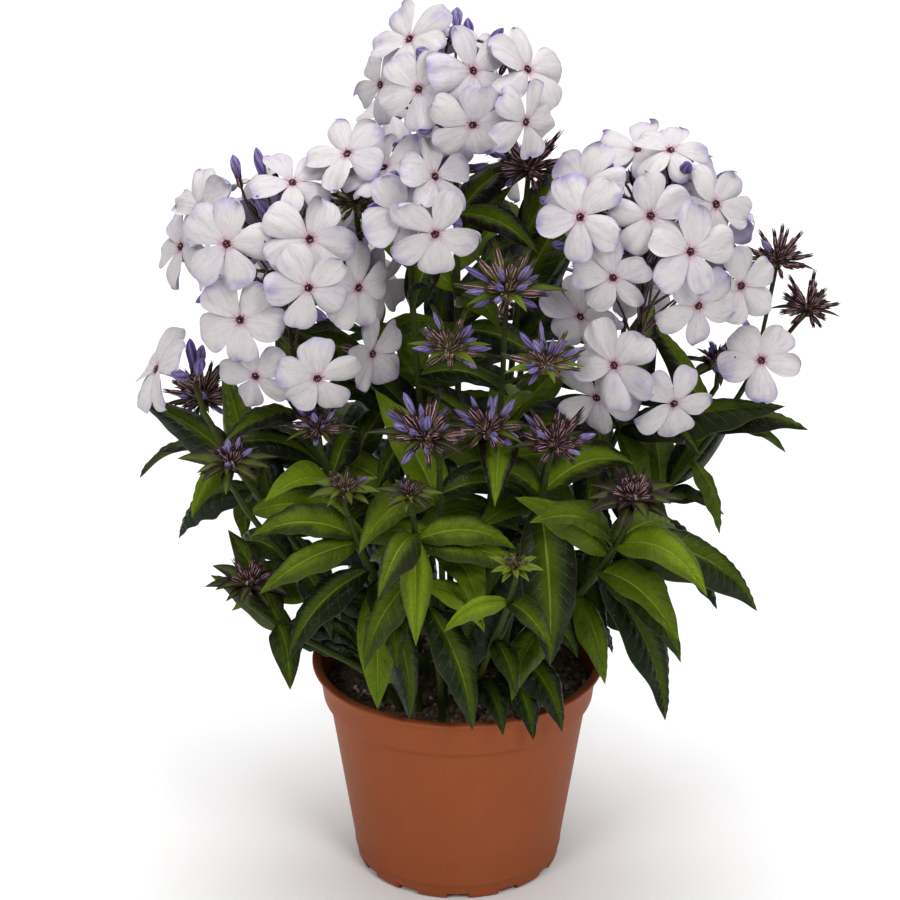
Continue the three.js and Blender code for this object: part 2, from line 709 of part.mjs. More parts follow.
// The leaves that a shoot would have if it stood alone: opposite pairs, each turned a quarter from the one
// below, hanging low on the plant and rising near its top.
function wantedLeaves(shoot) {
  const draw = drawing(seedOf(shoot.name));
  const spread = (key) => LEAF_SPREAD[key] * (draw() - 0.5);
  const wanted = [];
  for (let pair = shoot.pairs - 1; pair >= 0; pair -= 1) {
    const height = THREE.MathUtils.lerp(LOWEST_LEAF, shoot.neck[2] - TOP_LEAF, pair / (shoot.pairs - 1));
    const span = HIGH_LEAVES.height - LOW_LEAVES.height;
    const level = THREE.MathUtils.clamp((height - LOW_LEAVES.height) / span, 0, 1);
    const between = (key) => THREE.MathUtils.lerp(LOW_LEAVES[key], HIGH_LEAVES[key], level);
    for (const side of [0, 180]) {
      wanted.push({
        root: stemAtHeight(shoot, height + spread("height")),
        azimuth: shoot.turn + 90 * pair + side + spread("azimuth"),
        rise: between("rise") + spread("rise"),
        fall: between("fall") + spread("fall"),
        sweep: spread("sweep"),
        length: shoot.leaf * between("length") * (1 + spread("length")),
      });
    }
  }
  return wanted.filter((_, i) => !shoot.fallen?.includes(i));
}

// The leaves that a shoot's table lists under a key.
function listedLeaves(shoot, key) {
  return (shoot[key] ?? []).map(([height, azimuth, rise, fall, length]) => ({
    root: stemAtHeight(shoot, height), azimuth, rise, fall, length, sweep: 0,
  }));
}

// ---------------------------------------------------------------------------------------------------------
// Heads

const FRONT_LEAN = new THREE.Vector3(0, -0.45, 0.1); // florets at the front turn a little to the light
const GOLDEN_ANGLE = 137.5;

// The axis of a head, from just above the neck of its stem through its heart.
function axisPoints(shoot, heart) {
  const neck = at(shoot.neck);
  const way = neckWay(shoot);
  const end = along(heart, heart.clone().sub(neck).normalize(), AXIS_PAST);
  return [along(neck, way, FIT), along(neck, way, AXIS_STRAIGHT), end];
}

// Where a branch that ends at a point leaves the axis: lower by its distance from the axis.
function branchRoot(axis, end) {
  const [, low, high] = axis;
  const reach = Math.hypot(end.x - high.x, end.y - high.y);
  const share = (end.z - BRANCH_SLOPE * reach - low.z) / (high.z - low.z);
  return low.clone().lerp(high, THREE.MathUtils.clamp(share, ...BRANCH_RANGE));
}

// The ways in which a floret may give way to its neighbours: sunk or raised, and turned.
const SHIFTS = [0, 5, -5, 9, -9, -13];
const FILL_DEPTH = 8; // how much nearer the heart those florets are than the front ones
const FILL_SPACING = 28; // least distance between the eyes of two florets that fill a dome
const FILL = { tries: 56, top: 86, step: 2.1 }; // elevation of the first try, and how much lower each next is
const TILTS = [[0, 0], [14, 0], [-14, 0], [0, 14], [0, -14], [28, 0], [-28, 0], [0, 28], [0, -28]];

// Where the stalk of a floret leaves the axis: the lower the floret faces, the lower.
function floretRoot(axis, elevation, turn) {
  const share = THREE.MathUtils.clamp((elevation - STALK_LOWEST) / STALK_SPAN, 0.02, 0.98);
  return axis[1].clone().lerp(axis[2], share + 0.02 * Math.sin(rad(7 * turn)));
}

function calyxOf({ eye, face }) {
  return along(eye, face, -TUBE - CALYX / 2);
}

function floretClear(owner, part, heart, axis, wanted) {
  const { azimuth, elevation, reach, faces, lean, sway, nod, radius } = wanted;
  const faced = elevation < 0 ? LOW_FACING * elevation : elevation;
  for (const shift of SHIFTS) {
    for (const [turn, lift] of TILTS) {
      const place = {
        eye: along(heart, direction(azimuth, elevation), reach + shift),
        face: direction(faces + sway + turn, faced + nod + lift).add(lean).normalize(),
        root: floretRoot(axis, elevation, azimuth),
        radius,
      };
      if (isClear(owner, part, floretSamples(place))) {
        return place;
      }
    }
  }
  return null;
}

// The places of the florets: the listed ones, and then those that fill the dome by the golden angle.
function floretPlaces(shoot, owner, axis) {
  const heart = at(shoot.heart);
  const draw = drawing(seedOf(shoot.name) + 1);
  const places = [];
  const settle = (azimuth, elevation, reach, faces, lean) => {
    const part = `floret ${places.length}`;
    const roll = (360 / LOBES) * draw();
    const radius = FLORET_RADIUS * (FLORET_SIZES[0] + FLORET_SIZES[1] * draw());
    const [sway, nod] = [FLORET_SWAY * (draw() - 0.5), FLORET_SWAY * (draw() - 0.5)];
    const wanted = { azimuth, elevation, reach, faces, lean, sway, nod, radius };
    const place = floretClear(owner, part, heart, axis, wanted);
    if (place) {
      occupy(owner, part, floretSamples(place));
      places.push({ ...place, roll });
    }
    return Boolean(place);
  };
  for (const [azimuth, elevation, reach, faces = azimuth] of shoot.florets) {
    settle(azimuth, elevation, reach, faces, FRONT_LEAN);
  }
  const dome = shoot.dome ?? shoot.florets[0][2] - FILL_DEPTH;
  let left = shoot.back;
  for (let i = 0; i < FILL.tries && left > 0; i += 1) {
    const [azimuth, elevation] = [180 + GOLDEN_ANGLE * i, FILL.top - FILL.step * i];
    const eye = along(heart, direction(azimuth, elevation), dome);
    const apart = places.every((place) => place.eye.distanceTo(eye) > FILL_SPACING);
    if (apart && settle(azimuth, elevation, dome, azimuth, new THREE.Vector3())) {
      left -= 1;
    }
  }
  return places;
}

// The outline of a floret: five lobes, each with a notch before it and two corners at its blunt tip, as
// [degrees from the middle of the lobe, share of the radius].
const LOBES = 5;
const LOBE = [[-36, 0.5], [-23, 0.98], [23, 0.98]];
const NOTCH_SINK = -0.6;
const LOBE_WAVE = 1.2;
const TUBE_RADIUS = 1.1;
const CALYX_RADIUS = 1.5;

// A floret: a plate of five lobes whose underside runs into its tube, calyx and stalk.
function floret(place) {
  const { eye, face, roll, root, radius } = place;
  const reference = Math.abs(face.z) > 0.8 ? new THREE.Vector3(0, 1, 0) : new THREE.Vector3(0, 0, 1);
  const right = reference.clone().cross(face).normalize();
  const up = face.clone().cross(right);
  const rim = [];
  for (let lobe = 0; lobe < LOBES; lobe += 1) {
    LOBE.forEach(([turn, share], corner) => {
      const angle = rad(roll + (360 / LOBES) * lobe + turn);
      const rise = corner === 0 ? NOTCH_SINK : LOBE_WAVE * Math.cos(2 * angle + lobe);
      const reach = radius * share;
      const flat = along(along(eye, right, reach * Math.cos(angle)), up, reach * Math.sin(angle));
      rim.push(along(flat, face, rise));
    });
  }
  const line = [along(eye, face, (ABOVE - 1) * FLORET_THICKNESS), calyxOf(place), root];
  const tube = ringsAlong(line, [TUBE_RADIUS, CALYX_RADIUS, 0], 3, right, roll + 15);
  const points = [along(eye, face, ABOVE * FLORET_THICKNESS), ...rim, ...tube.flat()];
  const rimAt = (i) => 1 + (i % rim.length);
  const tubeAt = (ring, k) => 1 + rim.length + 3 * ring + (k % 3);
  const triangles = [];
  for (let i = 0; i < rim.length; i += 1) {
    const [here, next] = [Math.floor(i / LOBES), Math.floor((i + 1) / LOBES)];
    triangles.push([0, rimAt(i), rimAt(i + 1)], [tubeAt(0, here), rimAt(i + 1), rimAt(i)]);
    if (next !== here) {
      triangles.push([tubeAt(0, here), tubeAt(0, next), rimAt(i + 1)]);
    }
  }
  for (let k = 0; k < 3; k += 1) {
    triangles.push([tubeAt(0, k + 1), tubeAt(0, k), tubeAt(1, k)]);
    triangles.push([tubeAt(0, k + 1), tubeAt(1, k), tubeAt(1, k + 1)]);
    triangles.push([tubeAt(1, k + 1), tubeAt(1, k), points.length - 1]);
  }
  const geometry = new THREE.BufferGeometry().setFromPoints(points);
  geometry.setIndex(triangles.flat());
  return solid(geometry);
}

// A single bud on its stalk, widest at the foot of its furled petals.
function budBody(root, end, way, length) {
  const line = [root, along(end, way, -length), along(end, way, -0.45 * length), end];
  return limb(line, [STALK_RADIUS, BUD_FOOT_RADIUS, BUD_RADIUS, 0], 3);
}

// A cluster of buds: a knob whose faces are drawn out, the upper ones into buds and those at its foot into
// bracts.
function cluster([x, y, z, size], draw) {
  const heart = at([x, y, z]);
  const knob = new THREE.IcosahedronGeometry(KNOB_RADIUS * size, 0);
  knob.rotateX(Math.atan(0.5 * (Math.sqrt(5) - 1)));
  knob.rotateZ(2 * Math.PI * draw());
  knob.deleteAttribute("normal");
  knob.deleteAttribute("uv");
  const place = mergeVertices(knob, 1e-4);
  const corner = (i) => new THREE.Vector3().fromBufferAttribute(place.attributes.position, i).add(heart);
  const points = Array.from({ length: place.attributes.position.count }, (_, i) => corner(i));
  const spread = (length, [least, more]) => length * (least + more * draw());
  const triangles = [];
  const samples = [heart];
  for (let i = 0; i < place.index.count; i += 3) {
    const base = [0, 1, 2].map((k) => place.index.getX(i + k));
    const middle = base.reduce((sum, k) => sum.add(points[k]), new THREE.Vector3()).divideScalar(3);
    const way = middle.clone().sub(heart).normalize();
    if (way.z < KNOB_FOOT) {
      triangles.push(base);
    } else if (way.z < 0) {
      const raised = way.clone().lerp(direction(0, 90), BRACT_RISE).normalize();
      const tip = along(middle, raised, size * spread(BRACT_LENGTH, BRACT_SPREAD));
      triangles.push(...spike(points, base, tip));
      samples.push(middle.clone().lerp(tip, 0.3), middle.clone().lerp(tip, 0.65), tip);
    } else if (size < SMALL_CLUSTER) {
      const tip = along(middle, way, size * spread(BUD_LENGTH, BUD_SPREAD));
      triangles.push(...spike(points, base, tip));
      samples.push(middle.clone().lerp(tip, 0.5), tip);
    } else {
      const length = size * spread(BUD_LENGTH, BUD_SPREAD);
      const belly = along(middle, way, 0.5 * length);
      const outward = (k) => points[k].clone().sub(middle).normalize();
      const ring = base.map((k) => points.push(along(belly, outward(k), BUD_RADIUS * size)) - 1);
      for (let k = 0; k < 3; k += 1) {
        const [a, b] = [k, (k + 1) % 3];
        triangles.push([base[a], base[b], ring[b]], [base[a], ring[b], ring[a]]);
      }
      const tip = along(middle, way, length);
      triangles.push(...spike(points, ring, tip));
      samples.push(along(middle, way, 0.5 * length), tip);
    }
  }
  const geometry = new THREE.BufferGeometry().setFromPoints(points);
  geometry.setIndex(triangles.flat());
  return { body: solid(geometry), samples };
}

// Three faces from a triangle to a new point.
function spike(points, base, tip) {
  const top = points.push(tip) - 1;
  return [0, 1, 2].map((k) => [base[k], base[(k + 1) % 3], top]);
}

function axisOf(shoot) {
  return axisPoints(shoot, at(shoot.heart ?? shoot.tips[0].slice(0, 3)));
}

// The axis of a head and its clusters of buds.
function axisParts(shoot, owner) {
  const draw = drawing(seedOf(shoot.name) + 2);
  const axis = axisOf(shoot);
  const parts = [limb(axis, [STEM_NECK_RADIUS, STEM_NECK_RADIUS, AXIS_TOP_RADIUS], STEM_SIDES)];
  occupy(owner, "axis", [0, 0.25, 0.5, 0.75].map((share) => axis[0].clone().lerp(axis[2], share)));
  (shoot.tips ?? []).forEach((tip, i) => {
    const made = cluster(tip, draw);
    parts.push(made.body);
    if (i > 0 || shoot.heart) {
      const end = at(tip.slice(0, 3));
      parts.push(limb([branchRoot(axis, end), end], BRANCH_RADII, 3));
    }
    occupy(owner, `tip ${i}`, made.samples);
  });
  return parts;
}

// The florets and single buds of a head that is open.
function openParts(shoot, owner) {
  const axis = axisOf(shoot);
  const heart = at(shoot.heart);
  const parts = floretPlaces(shoot, owner, axis).map(floret);
  shoot.buds.forEach(([azimuth, elevation, reach], i) => {
    const way = direction(azimuth, elevation);
    const end = along(heart, way, reach);
    const samples = [end, along(end, way, -5), along(end, way, -10)];
    if (isClear(owner, `bud ${i}`, samples)) {
      parts.push(budBody(branchRoot(axis, along(end, way, -BUD_LENGTH)), end, way, BUD_LENGTH));
      occupy(owner, `bud ${i}`, samples);
    }
  });
  return parts;
}

// Rings of samples on a floret: share of its radius, and how many.
const SAMPLE_RINGS = [[0.3, 6], [0.62, 12], [0.95, 18]];

function floretSamples({ eye, face, root, radius }) {
  const right = face.clone().cross(new THREE.Vector3(0.3, 0.5, 0.81)).normalize();
  const up = face.clone().cross(right);
  const calyx = calyxOf({ eye, face });
  const samples = [eye, along(eye, face, -7), along(eye, face, -14), calyx, root.clone().lerp(calyx, 0.6)];
  for (const [share, count] of SAMPLE_RINGS) {
    for (let i = 0; i < count; i += 1) {
      const angle = (2 * Math.PI * i) / count;
      const point = along(eye, right, share * radius * Math.cos(angle));
      samples.push(along(point, up, share * radius * Math.sin(angle)));
    }
  }
  return samples;
}

// ---------------------------------------------------------------------------------------------------------
// The whole plant

for (const shoot of SHOOTS) {
  occupy(`shoot_${shoot.name}`, "stem", stemSamples(shoot));
}

const heads = new Map(SHOOTS.map((shoot) => [shoot.name, axisParts(shoot, `head_${shoot.name}`)]));
for (const shoot of SHOOTS.filter(({ heart }) => heart)) {
  heads.get(shoot.name).push(...openParts(shoot, `head_${shoot.name}`));
}

const leaves = new Map(SHOOTS.map((shoot) => [shoot.name, []]));
for (const stage of ["own", "wanted", "more"]) {
  for (const shoot of SHOOTS) {
    const owner = `shoot_${shoot.name}`;
    const grown = leaves.get(shoot.name);
    for (const leaf of stage === "wanted" ? wantedLeaves(shoot) : listedLeaves(shoot, stage)) {
      const bent = bentClear(owner, `leaf ${grown.length}`, leaf);
      if (bent) {
        occupy(owner, `leaf ${grown.length}`, leafSamples(bent));
        grown.push(bent);
      }
    }
  }
}

const phlox = new THREE.Group();
phlox.add(pot(), soil());
for (const shoot of SHOOTS) {
  const green = fuse([stem(shoot), ...leaves.get(shoot.name).map(blade)]);
  phlox.add(mesh(`shoot_${shoot.name}`, green, FINISH.shoot));
  const kind = shoot.heart ? "bloom" : "bud";
  phlox.add(mesh(`${kind}_${shoot.name}`, fuse(heads.get(shoot.name)), FINISH[kind]));
}

export default phlox;
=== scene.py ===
"""Looks of a garden phlox in flower in its round nursery pot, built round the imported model.

Every piece replaces the CAD node of its name and keeps its form: the same rule grows the same stems, leaves,
florets and buds here, and gives them finer surfaces. Lengths of the plant are in millimetres until a mesh is
made, and angles are in degrees. An azimuth of 0 points to the front, -Y, and one of 90 to +X.
"""

import math

import bpy
import numpy as np
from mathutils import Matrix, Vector, noise


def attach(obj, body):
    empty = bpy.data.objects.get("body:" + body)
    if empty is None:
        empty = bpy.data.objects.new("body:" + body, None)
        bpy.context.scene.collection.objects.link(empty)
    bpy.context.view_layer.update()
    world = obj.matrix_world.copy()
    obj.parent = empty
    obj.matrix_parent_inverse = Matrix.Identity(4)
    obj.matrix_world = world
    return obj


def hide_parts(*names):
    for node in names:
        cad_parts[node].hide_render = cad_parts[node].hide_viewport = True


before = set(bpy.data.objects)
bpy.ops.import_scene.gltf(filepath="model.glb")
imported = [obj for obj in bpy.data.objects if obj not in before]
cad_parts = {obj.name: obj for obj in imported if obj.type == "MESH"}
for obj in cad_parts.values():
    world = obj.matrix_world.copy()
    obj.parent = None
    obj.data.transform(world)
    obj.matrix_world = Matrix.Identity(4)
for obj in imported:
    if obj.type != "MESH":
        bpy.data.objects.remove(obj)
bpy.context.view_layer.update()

MM = 0.001

# ------------------------------------------------------------------------------------------------------------
# Dimensions of the model, as its source has them

POT_HEIGHT = 99
LIP_RADIUS = 65
BAND_TOP_RADIUS = 62.5
BAND_FOOT_RADIUS = 60
BAND_FOOT = 82
WALL_TOP_RADIUS = 57.5
WALL_FOOT_RADIUS = 45
FOOT_RING_INSIDE = 41.4
FLOOR_RADIUS = 44.2
WALL = 1.4
FLOOR_UNDERSIDE = 2
FLOOR_TOP = 3.6
NOTCHES = 12
NOTCH_WIDTH = 9.5
NOTCH_HEIGHT = 3

FIT = 0.35
SOIL_EDGE = 86
SOIL_CROWN = 88
SOIL_CROWN_RADIUS = 24
SOIL_SHOULDER = (45, 87.2)
SOIL_BUMP = 0.8
SOIL_WAVES = (0.31, 0.27)
PLANTING_DEPTH = 24

STEM_RISE = 2
STEM_FOOT_RADIUS = 1.9
STEM_NECK_RADIUS = 1.5
STEM_LOW = (0.12, 0.36)
STEM_HIGH = (0.3, 0.36)
STEM_STEPS = 4
STEM_SAMPLE_STEP = 4
AXIS_TOP_RADIUS = 1.4
AXIS_FOOT = 5
AXIS_TIP = 3

LEAF_WIDTH = 0.31
LEAF_FOLD = 0.32
LEAF_SAMPLE_STEP = 4.5
STEEPEST_RISE = 75
OUTWARD_LEAN = 0.6
MIDDLE_Y = 12
MIDDLE_NARROW = 0.35
LOWEST_LEAF = 112
TOP_LEAF = 13
LOW_LEAVES = {"height": 105, "rise": 10, "fall": -72, "length": 1.12}
HIGH_LEAVES = {"height": 295, "rise": 38, "fall": -20, "length": 0.82}
LEAF_SPREAD = {"height": 4, "azimuth": 24, "rise": 16, "fall": 20, "sweep": 30, "length": 0.24}

LOBES = 5
FLORET_RADIUS = 18.5
FLORET_SIZES = (0.88, 0.19)
FLORET_SWAY = 34
FRONT_LEAN = (0, -0.45, 0.1)
FILL_DEPTH = 8
FILL_TRIES = 56
FILL_START = 86
FILL_STEP = 2.1
FILL_SPACING = 28
GOLDEN_ANGLE = 137.5
TUBE = 15
CALYX = 8
TUBE_SAMPLES = (0, -7, -14)
BUD_LENGTH = 15
BUD_SAMPLES = (0, -5, -10)
BUD_SPREAD = (0.7, 0.3)
BRACT_SPREAD = (0.8, 0.4)
BRACT_LENGTH = 17
KNOB_RADIUS = 4.2
KNOB_FOOT = -0.4

# Room to other pieces, to other parts of the same piece, and round the pot and the soil
CLEARANCE = 4.4
OWN_CLEARANCE = 3
RIM_INSIDE, RIM_OUTSIDE, RIM_ABOVE = 8, 4, 3
SOIL_ABOVE = 4
# What is tried in turn where a floret or a leaf isn't clear, as lengths, (turn, lift) and shares of its size
SHIFTS = (0, 5, -5, 9, -9, -13)
TILTS = ((0, 0), (14, 0), (-14, 0), (0, 14), (0, -14), (28, 0), (-28, 0), (0, 28), (0, -28))
BENDS = (
    (0, 0), (14, 0), (-14, 0), (0, 14), (0, -12), (28, 0), (-28, 0), (16, 16), (-16, 16), (20, -14),
    (-20, -14), (0, 30), (42, 0), (-42, 0), (32, 25), (-32, 25), (0, 46), (55, 15), (-55, 15),
)
SIZES = (1, 0.82, 0.66)
# Samples near a leaf's root that aren't tested, and share and count of a floret's rings of samples
ROOT_SAMPLES = 6
SAMPLE_RINGS = ((0.3, 6), (0.62, 12), (0.95, 18))

# The plant: foot and neck of each stem, its leaf pairs, the azimuth of the lowest pair, the longest leaf,
# leaves of its own, and more that fill the room between them, as (height, azimuth, rise, fall, length), the
# numbers of the fallen ones, and the head's florets and buds as (azimuth, elevation, reach) from its heart,
# the number that fills its dome, and its clusters as (x, y, z, size).
SHOOTS = [
    {"name": "a", "foot": [1, 9], "neck": [-1, 4, 322], "pairs": 6, "turn": 20, "leaf": 60,
     "heart": [-1, 0, 362],
     "florets": [[-80, 55, 34], [-30, 25, 34], [15, 40, 34], [60, 30, 34], [10, 5, 34], [37, 5, 38],
         [-90, 12, 32]], "buds": [[-60, 70, 34], [-110, 80, 34], [40, 12, 30]], "back": 8,
     "fallen": [3, 10, 11],
     "more": [[255, 160, 40, 5, 60], [309, 60, 15, -45, 48], [255, 60, 15, -45, 60], [282, 140, 40, 5, 38],
         [273, -120, 40, 5, 60], [291, 120, 55, 30, 38]]},
    {"name": "b", "foot": [-9, -7], "neck": [-20, -22, 290], "pairs": 6, "turn": 65, "leaf": 56,
     "heart": [-22, -28, 326],
     "florets": [[45, 45, 24], [25, -5, 24], [0, 10, 24], [-100, 60, 18], [-104, 39, 32, -75]],
     "buds": [[-120, 50, 27]], "back": 0, "fallen": [10],
     "more": [[219, 120, 35, -25, 48], [219, -100, 55, 30, 48]]},
    {"name": "c", "foot": [-27, -4], "neck": [-68, -14, 232], "pairs": 6, "turn": 40, "leaf": 66,
     "heart": [-74, -15, 298],
     "florets": [[-35, 25, 42], [20, 30, 42], [50, -5, 42], [-80, 35, 42], [30, 75, 42], [-90, 5, 43],
         [15, 5, 42], [85, -15, 43], [-25, -20, 42], [-21, -54, 53], [18, -36, 61], [66, -43, 56],
         [55, 40, 34]],
     "buds": [[-15, 65, 40], [5, 60, 36], [-30, 60, 34], [-10, 30, 36], [-30, 0, 36], [-65, -20, 38],
         [-145, 65, 42]], "back": 8, "fallen": [6, 9, 11],
     "more": [[183, 140, 55, 30, 60], [219, -160, 55, 30, 60]]},
    {"name": "d", "foot": [27, 2], "neck": [74, -12, 230], "pairs": 6, "turn": 10, "leaf": 68,
     "heart": [79, -10, 303],
     "florets": [[-60, 45, 44], [-38, 28, 53], [0, 35, 44], [55, 75, 44], [50, 35, 44], [20, 15, 44],
         [-20, 0, 44], [30, -20, 44], [-50, -35, 44], [63, -16, 46], [75, 45, 44], [-16, -35, 63],
         [14, -51, 72], [-33, -57, 70], [-159, 74, 38]],
     "buds": [[-100, 70, 40], [-10, 65, 42], [95, 55, 40], [30, 40, 38], [-35, 40, 38], [70, -35, 52]],
     "back": 9, "fallen": [9, 10], "own": [[215, 95, 20, 5, 74], [214, 30, -20, -80, 40]],
     "more": [[219, 160, 55, 30, 60]]},
    {"name": "e", "foot": [6, -17], "neck": [18, -40, 244], "pairs": 6, "turn": 85, "leaf": 58,
     "tips": [[20, -42, 292, 1.15], [-4, -56, 272, 0.95], [36, -62, 268, 0.95]], "fallen": [9, 10],
     "more": [[219, -80, 55, 30, 48]]},
    {"name": "f", "foot": [-6, -28], "neck": [-8, -66, 222], "pairs": 4, "turn": 30, "leaf": 62,
     "tips": [[-14, -72, 239, 1.1], [12, -66, 240, 0.95]], "more": [[201, -140, 55, 30, 60]]},
    {"name": "g", "foot": [17, -28], "neck": [37, -68, 222], "pairs": 4, "turn": 0, "leaf": 66,
     "tips": [[40, -72, 236, 0.95]],
     "own": [[186, -62, -50, -85, 90], [204, 10, -25, -88, 80], [118, 40, 15, -75, 64]]},
    {"name": "h", "foot": [29, -21], "neck": [70, -80, 202], "pairs": 4, "turn": 45, "leaf": 60,
     "tips": [[72, -85, 217, 1.1]], "fallen": [6],
     "own": [[190, 95, 5, -62, 84], [190, 55, 0, -85, 64], [174, 70, -45, -85, 78],
         [184, -80, 12, -30, 54]],
     "more": [[174, 40, 15, -45, 60], [174, 60, -10, -70, 60], [156, 20, -10, -70, 48]]},
    {"name": "i", "foot": [-34, -20], "neck": [-94, -57, 207], "pairs": 4, "turn": 20, "leaf": 56,
     "tips": [[-96, -60, 221, 1]], "fallen": [0, 5],
     "more": [[147, -100, 15, -45, 48], [140, 48, 42, -81, 42]]},
    {"name": "j", "foot": [-26, -31], "neck": [-86, -67, 157], "pairs": 3, "turn": 75, "leaf": 48,
     "tips": [[-88, -70, 170, 1]], "fallen": [0, 3, 5],
     "more": [[147, -140, 55, 30, 48], [140, -120, 40, 5, 48], [147, 14, 1, -88, 42]]},
    {"name": "k", "foot": [-17, -30], "neck": [-46, -77, 206], "pairs": 4, "turn": 0, "leaf": 60,
     "tips": [[-47, -80, 219, 0.8]],
     "own": [[164, 0, -50, -88, 56], [156, 40, -35, -85, 74], [190, -75, 5, -35, 52]],
     "more": [[174, -60, -10, -70, 60]]},
    {"name": "l", "foot": [-37, -9], "neck": [-106, -27, 226], "pairs": 4, "turn": 0, "leaf": 54,
     "heart": [-112, -28, 246], "florets": [[-105, 10, 17]],
     "buds": [[-60, 85, 15], [-35, 60, 16], [-30, 30, 15], [-5, 15, 14], [20, 50, 15], [120, 60, 14],
         [170, 30, 14]], "back": 0, "fallen": [0, 3],
     "more": [[192, -160, 55, 30, 60], [192, -120, -10, -70, 60], [210, -40, -10, -70, 38],
         [201, -120, 40, 5, 60]]},
    {"name": "m", "foot": [37, 6], "neck": [118, -2, 222], "pairs": 4, "turn": 15, "leaf": 56,
     "heart": [126, -8, 240], "florets": [[10, 40, 20]],
     "buds": [[-30, 40, 18], [-165, 65, 19], [-60, 20, 16]], "back": 0,
     "tips": [[136, 2, 288, 0.85], [150, 2, 266, 0.8]], "fallen": [6],
     "own": [[210, 95, 10, -50, 40], [196, 50, -40, -85, 38]],
     "more": [[210, -140, 55, 30, 60], [183, 140, 40, 5, 60], [210, 80, 35, -25, 48],
         [174, 100, 15, -45, 38], [156, 40, -10, -70, 48], [165, 60, -10, -70, 60]]},
    {"name": "n", "foot": [7, -38], "neck": [23, -98, 184], "pairs": 3, "turn": 70, "leaf": 40,
     "tips": [[23, -100, 193, 0.6]]},
    {"name": "o", "foot": [-7, -40], "neck": [-19, -90, 212], "pairs": 4, "turn": 45, "leaf": 54,
     "tips": [[-20, -94, 223, 0.7]],
     "own": [[200, 0, -30, -88, 52], [196, 70, 0, -40, 54], [158, 60, -40, -85, 62],
         [180, -55, -25, -80, 54]]},
    {"name": "p", "foot": [14, 16], "neck": [28, 12, 302], "pairs": 5, "turn": 0, "leaf": 54,
     "tips": [[30, 12, 326, 1.05]],
     "more": [[255, 160, 55, 30, 60], [201, 140, 40, 5, 60], [291, 140, 55, 30, 48], [237, 140, 40, 5, 60],
         [264, 140, 55, 30, 60]]},
    {"name": "r", "foot": [-20, -19], "neck": [-57, -46, 219], "pairs": 4, "turn": 50, "leaf": 58,
     "tips": [[-59, -48, 232, 0.8]]},
    {"name": "s", "foot": [-17, 3], "neck": [-42, -8, 304], "pairs": 6, "turn": 15, "leaf": 50,
     "tips": [[-43, -10, 319, 0.85]], "more": [[237, -100, 40, 5, 60], [255, -80, 40, 5, 60]]},
    {"name": "t", "foot": [25, 24], "neck": [72, 70, 216], "pairs": 5, "turn": 35, "leaf": 66,
     "heart": [78, 75, 258], "florets": [], "buds": [[0, 75, 36], [90, 50, 34]], "back": 9, "dome": 36,
     "fallen": [8]},
    {"name": "u", "foot": [-25, 22], "neck": [-70, 66, 214], "pairs": 5, "turn": 70, "leaf": 66,
     "heart": [-75, 72, 254], "florets": [], "buds": [[30, 70, 36], [-90, 45, 34]], "back": 9, "dome": 36,
     "fallen": [8]},
    {"name": "v", "foot": [-3, 27], "neck": [-8, 62, 276], "pairs": 5, "turn": 10, "leaf": 64,
     "heart": [-6, 72, 318], "florets": [], "buds": [[60, 70, 30]], "back": 8, "dome": 30,
     "more": [[255, 0, -10, -70, 48]]},
    {"name": "w", "foot": [10, 36], "neck": [30, 98, 204], "pairs": 5, "turn": 60, "leaf": 58,
     "tips": [[31, 101, 219, 1]], "fallen": [8]},
    {"name": "x", "foot": [-36, 10], "neck": [-110, 32, 196], "pairs": 5, "turn": 80, "leaf": 58,
     "tips": [[-113, 33, 210, 1]], "fallen": [2, 4, 7], "more": [[174, 0, -10, -70, 38]]},
    {"name": "y", "foot": [37, 17], "neck": [112, 44, 206], "pairs": 5, "turn": 25, "leaf": 58,
     "tips": [[115, 45, 221, 1]], "fallen": [0, 3, 8]},
]

# ------------------------------------------------------------------------------------------------------------
# Vectors as plain tuples, so that every step gives the same numbers as in the model's source


def add(a, b):
    return (a[0] + b[0], a[1] + b[1], a[2] + b[2])


def sub(a, b):
    return (a[0] - b[0], a[1] - b[1], a[2] - b[2])


def along(start, way, distance):
    return (start[0] + way[0] * distance, start[1] + way[1] * distance, start[2] + way[2] * distance)


def dot(a, b):
    return a[0] * b[0] + a[1] * b[1] + a[2] * b[2]


def cross(a, b):
    return (a[1] * b[2] - a[2] * b[1], a[2] * b[0] - a[0] * b[2], a[0] * b[1] - a[1] * b[0])


def size_of(a):
    return math.sqrt(dot(a, a))


def unit(a):
    length = size_of(a) or 1
    return (a[0] / length, a[1] / length, a[2] / length)


def blend(a, b, share):
    return along(a, sub(b, a), share)


def between(low, high, share):
    return (1 - share) * low + share * high


def clamp(value, low, high):
    return max(low, min(high, value))


def direction(azimuth, elevation):
    level = math.cos(math.radians(elevation))
    turn = math.radians(azimuth)
    return (math.sin(turn) * level, -math.cos(turn) * level, math.sin(math.radians(elevation)))


def drawing(seed):
    """A repeatable stream of draws from 0 to 1."""
    state = seed
    while True:
        state = (state * 16807) % 2147483647
        yield state / 2147483647


def seed_of(name):
    return ord(name[0]) * 7919 + 13


# ------------------------------------------------------------------------------------------------------------
# Room: points sampled on every piece, so that a piece that would cross another is bent clear of it

room = {}
NEAR = [(i, j, k) for i in (-1, 0, 1) for j in (-1, 0, 1) for k in (-1, 0, 1)]


def cell_of(point):
    return tuple(math.floor(value / CLEARANCE) for value in point)


def occupy(owner, part, points):
    for point in points:
        room.setdefault(cell_of(point), []).append((owner, part, point))


def is_taken(owner, part, point):
    i, j, k = cell_of(point)
    for di, dj, dk in NEAR:
        for other, its_part, place in room.get((i + di, j + dj, k + dk), ()):
            if other == owner and its_part == part:
                continue
            least = OWN_CLEARANCE if other == owner else CLEARANCE
            if size_of(sub(place, point)) < least:
                return True
    return False


